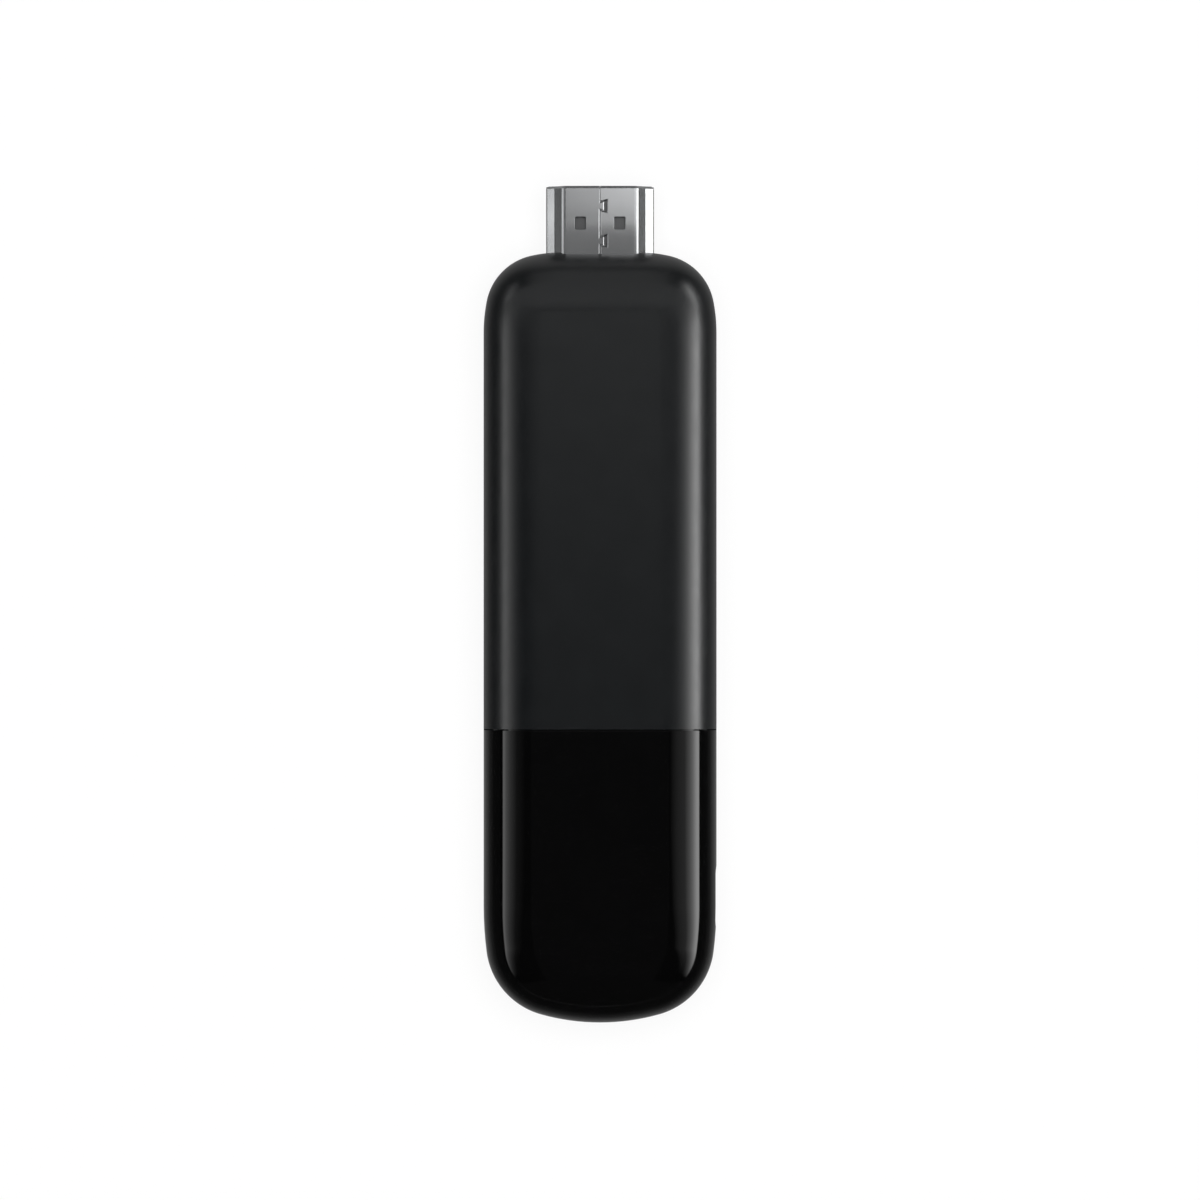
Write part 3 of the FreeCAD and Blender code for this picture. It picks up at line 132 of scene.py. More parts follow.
class PortSizes(bpy.types.PropertyGroup):
    """Form of the power port."""

    opening_length: length("Opening length", "Length of the rounded opening in the housing", 7.8 * MM)
    opening_height: length("Opening height", "Height of the rounded opening in the housing", 3.3 * MM)
    opening_corner: length("Opening corner", "Radius of the opening's corners", 1.2 * MM)
    sheet: length("Sheet", "Thickness of the port's folded sheet", 0.3 * MM)
    floor_width: length("Narrow side", "Width of the port's narrow side", 5.5 * MM)
    side_height: length("Side height", "Height of the port's upright sides", 1.15 * MM)


class Finishes(bpy.types.PropertyGroup):
    """Colours and sheen."""

    cover: colour("Covers", "Colour of the matt covers", (0.0037, 0.0046, 0.0054))
    cover_roughness: share("Cover roughness", "Roughness of the matt covers", 0.31)
    cap: colour("Cap", "Colour of the gloss cap", (0.0018, 0.0018, 0.0019))
    cap_roughness: share("Cap roughness", "Roughness of the gloss cap", 0.06)
    plug: colour("Plug", "Colour of the plug's plating", (0.60, 0.61, 0.62))
    plug_roughness: share("Plug roughness", "Roughness of the plug's plating", 0.25)
    gold: colour("Contacts", "Colour of the gold plating", (0.86, 0.62, 0.26))
    board: colour("Board", "Colour of the board's solder mask", (0.012, 0.075, 0.035))


class Studio(bpy.types.PropertyGroup):
    """Camera and lights."""

    lens: number("Lens", "Focal length of the camera", 300.0, min=20.0, subtype="DISTANCE_CAMERA")
    view_width: length("View width", "Width of the scene that the camera takes in", 154.6 * MM)
    aim_x: number("Aim across", "Place the camera looks at, across", -0.01 * MM, precision=5, unit="LENGTH")
    aim_y: number("Aim along", "Place the camera looks at, along", 0.57 * MM, precision=5, unit="LENGTH")
    overhead: number("Overhead", "Power of the overhead lamp", 40.0, min=0.0)
    left_box: number("Left box", "Strength of the left softbox", 2.0, min=0.0)
    right_box: number("Right box", "Strength of the right softbox", 5.0, min=0.0)
    canopy: number("Canopy", "Strength of the cards over and behind the plug end", 0.36, min=0.0)
    plug_card: number("Plug card", "Strength of the card over the plug", 1.08, min=0.0)
    ambient: number("Ambient", "Strength of the dim room light", 0.02, min=0.0)


# Selecting and editing

def deselect():
    if bpy.context.object and bpy.context.object.mode != "OBJECT":
        bpy.ops.object.mode_set(mode="OBJECT")
    bpy.ops.object.select_all(action="DESELECT")


def activate(piece):
    deselect()
    piece.select_set(True)
    bpy.context.view_layer.objects.active = piece


def edit(piece):
    activate(piece)
    bpy.ops.object.mode_set(mode="EDIT")


def leave_edit():
    bpy.ops.object.mode_set(mode="OBJECT")


def choose(piece, kind, wanted):
    """Selects the vertices, edges or faces (VERT, EDGE or FACE) that wanted() accepts, and nothing else."""
    bpy.ops.mesh.select_mode(type=kind)
    bpy.ops.mesh.select_all(action="DESELECT")
    mesh = bmesh.from_edit_mesh(piece.data)
    mesh.normal_update()
    items = {"VERT": mesh.verts, "EDGE": mesh.edges, "FACE": mesh.faces}[kind]
    chosen = [item for item in items if wanted(item)]
    if not chosen:
        raise RuntimeError(f"{piece.name}: nothing to select")
    for item in chosen:
        item.select_set(True)
    mesh.select_flush_mode()
    bmesh.update_edit_mesh(piece.data)


def middle_of(edge):
    return (edge.verts[0].co + edge.verts[1].co) / 2


def edge_lies(axis, level, near=0.01 * MM):
    """Tells whether both ends of an edge are at a level along an axis."""
    return lambda edge: all(abs(vertex.co[axis] - level) < near for vertex in edge.verts)


def edge_runs(axis):
    """Tells whether an edge reaches over 1 mm along an axis."""
    return lambda edge: abs(edge.verts[0].co[axis] - edge.verts[1].co[axis]) > MM


def is_sharp(edge):
    """Tells whether an edge's two faces meet at over 30 degrees."""
    return len(edge.link_faces) == 2 and edge.calc_face_angle(0) > math.radians(30)


def start_line(name, place):
    """A new piece of one vertex, left in edit mode, to draw a line from."""
    deselect()
    bpy.ops.mesh.primitive_plane_add(size=MM, location=place)
    piece = bpy.context.object
    piece.name = name
    piece.data.name = name
    bpy.ops.object.transform_apply(location=True, rotation=True, scale=True)
    bpy.ops.object.mode_set(mode="EDIT")
    bpy.ops.mesh.select_mode(type="VERT")
    bpy.ops.mesh.merge(type="CENTER")
    return piece


def draw_to(here, there):
    """Extrudes the selected vertex to a place, and returns that place."""
    step = tuple(b - a for a, b in zip(here, there))
    bpy.ops.mesh.extrude_vertices_move(TRANSFORM_OT_translate={"value": step})
    return there


def draw_path(name, places):
    """A piece in edit mode whose vertices were drawn one after another through the places."""
    piece = start_line(name, places[0])
    here = places[0]
    for place in places[1:]:
        here = draw_to(here, place)
    return piece


def close_loop():
    bpy.ops.mesh.select_all(action="SELECT")
    bpy.ops.mesh.edge_face_add()


def draw_arc(centre, angle):
    """Spins the selected vertex counter-clockwise about an upright axis, a step for every 2 degrees."""
    steps = max(1, math.ceil(math.degrees(angle) / 2.0))
    bpy.ops.mesh.spin(steps=steps, angle=-angle, center=centre, axis=(0, 0, 1))


def extrude(offset):
    bpy.ops.mesh.extrude_region_move(TRANSFORM_OT_translate={"value": offset})


def face_outwards():
    bpy.ops.mesh.select_all(action="SELECT")
    bpy.ops.mesh.remove_doubles(threshold=0.0001 * MM)
    bpy.ops.mesh.normals_make_consistent(inside=False)


def draw_prism(name, places, offset):
    """A solid in edit mode: the area inside a path, extruded."""
    piece = draw_path(name, places)
    close_loop()
    extrude(offset)
    face_outwards()
    return piece


def bevel(width, segments, profile=0.5, clamp=False):
    """Rounds the selected edges, or chamfers them with one segment."""
    bpy.ops.mesh.bevel(
        offset=width, offset_type="OFFSET", segments=segments, profile=profile, clamp_overlap=clamp
    )


def apply_modifier(piece, kind, **settings):
    activate(piece)
    bpy.ops.object.modifier_add(type=kind)
    modifier = piece.modifiers[-1]
    for key, setting in settings.items():
        setattr(modifier, key, setting)
    bpy.ops.object.modifier_apply(modifier=modifier.name)


def thicken(piece, wall):
    """Gives an open skin a wall towards its inside."""
    apply_modifier(piece, "SOLIDIFY", thickness=wall, offset=-1.0, use_even_offset=True, use_rim=True)


def surface(piece):
    return sum(face.area for face in piece.data.polygons)


def cut(piece, cutter):
    """Takes a solid away from a piece, and removes that solid."""
    before = surface(piece)
    apply_modifier(piece, "BOOLEAN", operation="DIFFERENCE", solver="EXACT", object=cutter)
    if abs(surface(piece) - before) < 0.001 * MM * MM:
        raise RuntimeError(f"{cutter.name} cuts nothing from {piece.name}")
    activate(cutter)
    bpy.ops.object.delete()


def box(name, low, high):
    """A block between two corners, as its own mesh in place."""
    deselect()
    centre = [(a + b) / 2 for a, b in zip(low, high)]
    size = [b - a for a, b in zip(low, high)]
    bpy.ops.mesh.primitive_cube_add(size=1.0, location=centre)
    piece = bpy.context.object
    piece.name = name
    piece.data.name = name
    bpy.ops.transform.resize(value=size)
    bpy.ops.object.transform_apply(location=True, rotation=True, scale=True)
    return piece


def rounded_box(name, low, high, axis, radius, segments):
    """A block whose edges along one axis are rounded."""
    piece = box(name, low, high)
    edit(piece)
    choose(piece, "EDGE", edge_runs(axis))
    bevel(radius, segments)
    leave_edit()
    return piece


def join(piece, other):
    activate(piece)
    other.select_set(True)
    bpy.ops.object.join()


def finish_piece(piece, material, node, angle=28.0):
    """Shades a piece, gives it its material, and lets it ride and stand for its CAD part."""
    activate(piece)
    bpy.ops.object.shade_smooth_by_angle(angle=math.radians(angle))
    apply_modifier(piece, "WEIGHTED_NORMAL", mode="FACE_AREA", weight=80, keep_sharp=True)
    piece.data.materials.clear()
    piece.data.materials.append(material)
    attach(piece, "root")
    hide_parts(node)


# Shader groups that several finishes share

def add_node(tree, kind, **settings):
    """A shader node. Its kind is given without the prefix ShaderNode."""
    node = tree.nodes.new("ShaderNode" + kind)
    for key, setting in settings.items():
        setattr(node, key, setting)
    return node


def set_sockets(node, **values):
    """Sets a node's inputs to constants. An underscore stands for a space in a socket's name."""
    for key, setting in values.items():
        node.inputs[key.replace("_", " ")].default_value = setting


def new_group(name, inputs, outputs):
    """A shader node group with float inputs, each with its default, and float outputs."""
    group = bpy.data.node_groups.new(name, "ShaderNodeTree")
    for label, default in inputs:
        socket = group.interface.new_socket(name=label, in_out="INPUT", socket_type="NodeSocketFloat")
        socket.default_value = default
    for label in outputs:
        group.interface.new_socket(name=label, in_out="OUTPUT", socket_type="NodeSocketFloat")
    return group, group.nodes.new("NodeGroupInput"), group.nodes.new("NodeGroupOutput")


def moulded_grain():
    """Fine pits of a spark-eroded mould, and a mask of slightly smoother patches."""
    if "moulded_grain" in bpy.data.node_groups:
        return bpy.data.node_groups["moulded_grain"]
    group, entry, leave = new_group("moulded_grain", [("Grains per metre", 6000.0)], ["Height", "Mask"])
    place = add_node(group, "TexCoord")
    pits = add_node(group, "TexVoronoi", feature="SMOOTH_F1")
    grain = add_node(group, "TexNoise")
    patches = add_node(group, "TexNoise")
    both = add_node(group, "Math", operation="MULTIPLY_ADD")
    set_sockets(grain, Detail=3.0)
    set_sockets(patches, Scale=420.0, Detail=5.0)
    link = group.links.new
    for texture in (pits, grain, patches):
        link(place.outputs["Object"], texture.inputs["Vector"])
    link(entry.outputs[0], pits.inputs["Scale"])
    link(entry.outputs[0], grain.inputs["Scale"])
    link(pits.outputs["Distance"], both.inputs[0])
    link(grain.outputs["Fac"], both.inputs[1])
    link(grain.outputs["Fac"], both.inputs[2])
    link(both.outputs[0], leave.inputs["Height"])
    link(patches.outputs["Fac"], leave.inputs["Mask"])
    return group


def brushed_lines():
    """Fine rolling lines along the sheet, with a soft cloud over them."""
    if "brushed_lines" in bpy.data.node_groups:
        return bpy.data.node_groups["brushed_lines"]
    inputs = [("Across X", 9000.0), ("Along Y", 350.0), ("Across Z", 9000.0)]
    group, entry, leave = new_group("brushed_lines", inputs, ["Lines", "Cloud"])
    place = add_node(group, "TexCoord")
    stretch = add_node(group, "CombineXYZ")
    stretched = add_node(group, "VectorMath", operation="MULTIPLY")
    lines = add_node(group, "TexNoise")
    cloud = add_node(group, "TexNoise")
    set_sockets(lines, Scale=1.0, Detail=4.0)
    set_sockets(cloud, Scale=260.0, Detail=3.0)
    link = group.links.new
    for i in range(3):
        link(entry.outputs[i], stretch.inputs[i])
    link(place.outputs["Object"], stretched.inputs[0])
    link(stretch.outputs[0], stretched.inputs[1])
    link(stretched.outputs[0], lines.inputs["Vector"])
    link(place.outputs["Object"], cloud.inputs["Vector"])
    link(lines.outputs["Fac"], leave.inputs["Lines"])
    link(cloud.outputs["Fac"], leave.inputs["Cloud"])
    return group


# Materials

# Noise levels at which a mask's ends are reached, and how far a roughness varies either way
MASK_LOW, MASK_HIGH = 0.3, 0.7
ROUGHNESS_BAND = 0.02


def new_material(name, **values):
    """A material with a plain Principled shader whose named sockets are set to constant values."""
    material = bpy.data.materials.new(name)
    material.use_nodes = True
    shader = material.node_tree.nodes["Principled BSDF"]
    set_sockets(shader, **values)
    return material, material.node_tree, shader


def place_group(tree, group, **values):
    node = add_node(tree, "Group", node_tree=group)
    set_sockets(node, **values)
    return node


def tint(tree, shader, mask, dark, light):
    """Base colour between two tones by a mask."""
    mix = add_node(tree, "Mix", data_type="RGBA")
    set_sockets(mix, A=(*dark, 1.0), B=(*light, 1.0))
    tree.links.new(mask, mix.inputs["Factor"])
    tree.links.new(mix.outputs["Result"], shader.inputs["Base Color"])


def spread(tree, shader, mask, low, high):
    """Roughness between low and high by a mask."""
    between = add_node(tree, "MapRange")
    set_sockets(between, From_Min=MASK_LOW, From_Max=MASK_HIGH, To_Min=low, To_Max=high)
    tree.links.new(mask, between.inputs["Value"])
    tree.links.new(between.outputs["Result"], shader.inputs["Roughness"])


def relief(tree, shader, height, strength, depth):
    """Bump of a depth by a height."""
    bump = add_node(tree, "Bump")
    set_sockets(bump, Strength=strength, Distance=depth)
    tree.links.new(height, bump.inputs["Height"])
    tree.links.new(bump.outputs["Normal"], shader.inputs["Normal"])


def shade(tone, factor):
    return tuple(min(1.0, part * factor) for part in tone)


def matt_plastic(name, tone, roughness, grains=6000.0):
    """Moulded plastic with a fine grain."""
    if name in bpy.data.materials:
        return bpy.data.materials[name]
    material, tree, shader = new_material(name, Metallic=0.0, Specular_IOR_Level=1.0)
    grain = place_group(tree, moulded_grain(), Grains_per_metre=grains)
    tint(tree, shader, grain.outputs["Mask"], shade(tone, 0.85), shade(tone, 1.15))
    spread(tree, shader, grain.outputs["Mask"], roughness - ROUGHNESS_BAND, roughness + ROUGHNESS_BAND)
    relief(tree, shader, grain.outputs["Height"], strength=0.1, depth=0.01 * MM)
    return material


def gloss_plastic(name, tone, roughness):
    """Polished plastic with faint polishing haze."""
    material, tree, shader = new_material(name, Metallic=0.0)
    grain = place_group(tree, moulded_grain(), Grains_per_metre=900.0)
    tint(tree, shader, grain.outputs["Mask"], shade(tone, 0.8), shade(tone, 1.2))
    spread(tree, shader, grain.outputs["Mask"], roughness * 0.8, roughness * 1.2)
    relief(tree, shader, grain.outputs["Height"], strength=0.02, depth=0.002 * MM)
    return material


def sheet_metal(name, tone, roughness, across=9000.0, along=350.0):
    """Rolled and plated sheet with fine lines along it."""
    material, tree, shader = new_material(name, Metallic=1.0)
    lines = place_group(tree, brushed_lines(), Across_X=across, Along_Y=along, Across_Z=across)
    tint(tree, shader, lines.outputs["Cloud"], shade(tone, 0.94), shade(tone, 1.06))
    spread(tree, shader, lines.outputs["Lines"], roughness - ROUGHNESS_BAND, roughness + ROUGHNESS_BAND)
    relief(tree, shader, lines.outputs["Lines"], strength=0.02, depth=0.004 * MM)
    return material


def circuit_board(name, tone):
    """Solder mask over copper tracks."""
    material, tree, shader = new_material(name, Metallic=0.0, Roughness=0.32)
    place = add_node(tree, "TexCoord")
    tracks = add_node(tree, "TexBrick", offset=0.5, squash=0.6, squash_frequency=3)
    set_sockets(tracks, Scale=320.0, Mortar_Size=0.018, Mortar_Smooth=0.2)
    tree.links.new(place.outputs["Object"], tracks.inputs["Vector"])
    tint(tree, shader, tracks.outputs["Fac"], tone, shade(tone, 2.2))
    relief(tree, shader, tracks.outputs["Fac"], strength=0.4, depth=0.02 * MM)
    return material


def soft_pad(name, tone):
    """Silicone pad, dull and slightly mottled."""
    material, tree, shader = new_material(name, Metallic=0.0)
    grain = place_group(tree, moulded_grain(), Grains_per_metre=2500.0)
    tint(tree, shader, grain.outputs["Mask"], shade(tone, 0.9), shade(tone, 1.1))
    spread(tree, shader, grain.outputs["Mask"], low=0.55, high=0.7)
    relief(tree, shader, grain.outputs["Height"], strength=0.3, depth=0.03 * MM)
    return material


# Housing

# Pry notches: distance from the closed end, half lengths by side, depth, reach below and above
NOTCH_FROM_END = 40.5 * MM
NOTCH_HALF_LENGTHS = ((-1, 0.45 * MM), (1, 0.2 * MM))
NOTCH_DEPTH, NOTCH_BELOW, NOTCH_ABOVE = 0.35 * MM, 0.1 * MM, 1.0 * MM


def direction(start, end):
    return math.atan2(end[1] - start[1], end[0] - start[0])


def outline_face(name, sizes, level, inset=0.0):
    """The housing's outline at a level as a filled face in edit mode: the right half drawn, then mirrored."""
    half = HOUSING_HIGH.x
    low, high = HOUSING_LOW.y, PLUG_ROOT
    crown = Vector((0, low + sizes.crown_radius))
    side = Vector((half - sizes.end_side, low + sizes.end_straight))
    reach = sizes.end_side - sizes.end_corner
    corner = meeting_point(crown, sizes.crown_radius - sizes.end_corner, side, reach)
    shoulder = Vector((sizes.plug_flat / 2, high - sizes.shoulder_radius))
    upper_side = Vector((half - sizes.plug_side, high - sizes.plug_straight))
    reach = sizes.shoulder_radius - sizes.plug_corner
    upper_corner = meeting_point(upper_side, sizes.plug_side - sizes.plug_corner, shoulder, reach)

    crown_turn = direction(crown, corner) + math.pi / 2
    corner_turn = direction(side, corner) - direction(crown, corner)
    side_turn = -direction(side, corner)
    upper_side_turn = direction(upper_side, upper_corner)
    upper_corner_turn = direction(shoulder, upper_corner) - upper_side_turn
    shoulder_turn = math.pi / 2 - direction(shoulder, upper_corner)

    piece = start_line(name, (0, low + inset, level))
    draw_arc((*crown, level), crown_turn)
    draw_arc((*corner, level), corner_turn)
    draw_arc((*side, level), side_turn)
    draw_to((half - inset, side.y, level), (half - inset, upper_side.y, level))
    draw_arc((*upper_side, level), upper_side_turn)
    draw_arc((*upper_corner, level), upper_corner_turn)
    draw_arc((*shoulder, level), shoulder_turn)
    draw_to((shoulder.x, high - inset, level), (0, high - inset, level))
    bpy.ops.mesh.select_all(action="SELECT")
    bpy.ops.mesh.symmetrize(direction="POSITIVE_X", threshold=0.001 * MM)
    close_loop()
    return piece


def meeting_point(centre_a, reach_a, centre_b, reach_b):
    """The point at given distances from two centres that lies further out in X."""
    apart = (centre_b - centre_a).length
    along = (reach_a**2 - reach_b**2 + apart**2) / (2 * apart)
    aside = math.sqrt(reach_a**2 - along**2)
    unit = (centre_b - centre_a) / apart
    foot = centre_a + unit * along
    across = Vector((-unit.y, unit.x)) * aside
    return max(foot + across, foot - across, key=lambda point: point.x)


def half_solid(name, sizes, front, inset=0.0, overlap=0.0):
    """Half of the housing as a solid: the outline raised from the parting line, its far edge rolled over."""
    side = 1 if front else -1
    base = sizes.parting - side * overlap
    far = sizes.parting + side * (THICKNESS / 2 - inset)
    piece = outline_face(name, sizes, base, inset)
    extrude((0, 0, far - base))
    face_outwards()
    choose(piece, "EDGE", edge_lies(Z, far))
    bevel(sizes.edge_radius - inset, segments=22)
    leave_edit()
    return piece


def keep_beyond(piece, y, side):
    """Cuts a solid across at y, closes the cut, and keeps what lies on one side of it (1 or -1 along Y)."""
    edit(piece)
    bpy.ops.mesh.select_all(action="SELECT")
    bpy.ops.mesh.bisect(plane_co=(0, y, 0), plane_no=(0, side, 0), clear_inner=True, use_fill=True)
    leave_edit()


def hollow_out(piece, sizes, front, wall):
    """Takes the housing's inside away, which leaves the wall."""
    cut(piece, half_solid("inside", sizes, front, inset=wall, overlap=0.5 * MM))


def break_edges(piece, width, wanted, segments=2, profile=0.5, clamp=True):
    """Bevels the sharp edges that wanted() accepts."""
    edit(piece)
    choose(piece, "EDGE", lambda edge: is_sharp(edge) and wanted(edge))
    bevel(width, segments, profile, clamp)
    leave_edit()


def outer_edge(edge):
    """Tells whether one of an edge's faces is on the housing's outside."""
    place = middle_of(edge)
    on_spine = min(max(place.y, HOUSING_LOW.y + 15 * MM), PLUG_ROOT - 10 * MM)
    away = (place - Vector((0, on_spine, THICKNESS / 2))).normalized()
    return any(face.normal.dot(away) > 0.6 for face in edge.link_faces)


def round_lip(piece, sizes, axis, level):
    """Rounds a moulding's outer edge at a level along an axis."""
    break_edges(piece, sizes.lip_break, lambda edge: edge_lies(axis, level)(edge) and outer_edge(edge))


def plug_corners(plug, grow=0.0, crown=0.0):
    """Corners of the plug's section in X and Z, narrow face to the front, right side from the bottom up."""
    half = PLUG_HIGH.x
    low, high = PLUG_LOW.z, PLUG_HIGH.z
    right = [
        (half + grow, low - grow),
        (half + grow, low + plug.side_height + grow * 0.5),
        (plug.bend_width / 2 + grow, low + plug.bend_height + grow * 0.5),
        (plug.narrow_width / 2 + grow * 0.6, high + grow - crown),
    ]
    return right, [(-x, z) for x, z in reversed(right)]


def plug_way(plug):
    """A solid that cuts the plug's way through the end wall."""
    right, left = plug_corners(plug, grow=0.09 * MM)
    reach = 6 * MM
    places = [(x, PLUG_ROOT - reach, z) for x, z in right + left]
    piece = draw_prism("plug_way", places, (0, 2 * reach, 0))
    leave_edit()
    return piece


def port_way(port):
    """A rounded slot that cuts the power port's opening through the side wall."""
    middle_y = (PORT_LOW.y + PORT_HIGH.y) / 2
    half_length, half_height = port.opening_length / 2, port.opening_height / 2
    side = HOUSING_HIGH.x
    inwards, outwards = 4 * MM, 3 * MM
    low = (side - inwards, middle_y - half_length, THICKNESS / 2 - half_height)
    high = (side + outwards, middle_y + half_length, THICKNESS / 2 + half_height)
    return rounded_box("port_way", low, high, X, port.opening_corner, segments=10)


def cover_plastic(context):
    finish = context.scene.stick_finishes
    return matt_plastic("matt_cover_plastic", finish.cover, finish.cover_roughness)


class STICK_OT_rear_cover(bpy.types.Operator):
    """Adds the matt rear cover, with its rolled edge and the openings for plug and port"""

    bl_idname = "stick.rear_cover"
    bl_label = "Rear cover"
    bl_options = {"REGISTER", "UNDO"}

    def execute(self, context):
        sizes = context.scene.stick_housing
        piece = half_solid("rear_moulding", sizes, front=False)
        hollow_out(piece, sizes, front=False, wall=sizes.wall)
        round_lip(piece, sizes, Z, sizes.parting)
        cut(piece, plug_way(context.scene.stick_plug))
        cut(piece, port_way(context.scene.stick_port))
        finish_piece(piece, cover_plastic(context), "rear_cover")
        return {"FINISHED"}


class STICK_OT_front_cover(bpy.types.Operator):
    """Adds the matt front cover, with its pry notches and the way for the plug"""

    bl_idname = "stick.front_cover"
    bl_label = "Front cover"
    bl_options = {"REGISTER", "UNDO"}

    def execute(self, context):
        sizes = context.scene.stick_housing
        edge = HOUSING_LOW.y + sizes.cap_edge
        piece = half_solid("front_moulding", sizes, front=True)
        keep_beyond(piece, edge, 1)
        hollow_out(piece, sizes, front=True, wall=sizes.front_wall)
        round_lip(piece, sizes, Y, edge)
        round_lip(piece, sizes, Z, sizes.parting)
        cut(piece, plug_way(context.scene.stick_plug))
        station = HOUSING_LOW.y + NOTCH_FROM_END
        for side, half_length in NOTCH_HALF_LENGTHS:
            x = side * HOUSING_HIGH.x
            low = (x - NOTCH_DEPTH, station - half_length, sizes.parting - NOTCH_BELOW)
            high = (x + NOTCH_DEPTH, station + half_length, sizes.parting + NOTCH_ABOVE)
            cut(piece, box("notch_cutter", low, high))
        finish_piece(piece, cover_plastic(context), "front_cover")
        return {"FINISHED"}


class STICK_OT_gloss_cap(bpy.types.Operator):
    """Adds the polished cap at the closed end, with its tongue under the front cover and the port opening"""

    bl_idname = "stick.gloss_cap"
    bl_label = "Gloss cap"
    bl_options = {"REGISTER", "UNDO"}

    def execute(self, context):
        sizes = context.scene.stick_housing
        edge = HOUSING_LOW.y + sizes.cap_edge - sizes.cap_gap
        piece = half_solid("gloss_moulding", sizes, front=True)
        keep_beyond(piece, edge, -1)
        hollow_out(piece, sizes, front=True, wall=sizes.wall)
        round_lip(piece, sizes, Y, edge)
        round_lip(piece, sizes, Z, sizes.parting)
        cut(piece, port_way(context.scene.stick_port))
        tongue = half_solid("gloss_tongue", sizes, front=True, inset=sizes.tongue_depth)
        keep_beyond(tongue, edge + sizes.tongue_length, -1)
        keep_beyond(tongue, edge - 0.5 * MM, 1)
        hollow_out(tongue, sizes, front=True, wall=sizes.wall)
        join(piece, tongue)
        finish = context.scene.stick_finishes
        material = gloss_plastic("gloss_cap_plastic", finish.cap, finish.cap_roughness)
        finish_piece(piece, material, "gloss_cap")
        return {"FINISHED"}


# Plug and port

# Bends of the plug's section, from the bottom up: width, segments and profile
BENDS = ((0.45 * MM, 6, 0.5), (0.22 * MM, 6, 0.5), (0.12 * MM, 4, 0.5), (0.34 * MM, 2, 0.37))
# Dovetails of the seam: distances from the tip, half widths at root and end, and reach
DOVETAILS_FROM_TIP = (2.61 * MM, 7.12 * MM)
DOVETAIL_ROOT, DOVETAIL_END, DOVETAIL_REACH = 0.515 * MM, 0.74 * MM, 0.88 * MM


def window_cutter(plug, side):
    """A rounded prism through both faces of the plug at one latch window."""
    x = side * plug.window_spacing / 2
    y = PLUG_HIGH.y - plug.window_from_tip
    low = (x - plug.window_width / 2, y - plug.window_length / 2, PLUG_LOW.z - MM)
    high = (x + plug.window_width / 2, y + plug.window_length / 2, PLUG_HIGH.z + MM)
    return rounded_box("window_cutter", low, high, Z, radius=0.22 * MM, segments=5)


def seam_cutter(plug):
    """A thin ribbon along the seam and round its two dovetails, standing through the narrow face."""
    root, end, reach = DOVETAIL_ROOT, DOVETAIL_END, DOVETAIL_REACH
    low = PLUG_HIGH.z - plug.sheet - 0.2 * MM
    places = [(0, PLUG_LOW.y - MM, low)]
    for from_tip in reversed(DOVETAILS_FROM_TIP):
        y = PLUG_HIGH.y - from_tip
        places += [(0, y - root, low), (reach, y - end, low), (reach, y + end, low), (0, y + root, low)]
    places.append((0, PLUG_HIGH.y + MM, low))
    piece = draw_path("seam_cutter", places)
    bpy.ops.mesh.select_all(action="SELECT")
    extrude((0, 0, plug.sheet + 0.6 * MM))
    leave_edit()
    apply_modifier(piece, "SOLIDIFY", thickness=plug.seam_width, offset=0.0, use_even_offset=True)
    edit(piece)
    face_outwards()
    leave_edit()
    return piece


def dovetail_gap(plug, from_tip):
    """The open slot between a dovetail's end and the bottom of its socket."""
    y = PLUG_HIGH.y - from_tip
    low = PLUG_HIGH.z - plug.sheet - 0.2 * MM
    start, end = (0.56 * MM, 0.658 * MM), (DOVETAIL_REACH, DOVETAIL_END)
    corners = [(start[0], -start[1]), (end[0], -end[1]), end, start]
    places = [(x, y + along, low) for x, along in corners]
    piece = draw_prism("dovetail_gap", places, (0, 0, plug.sheet + 0.5 * MM))
    leave_edit()
    return piece


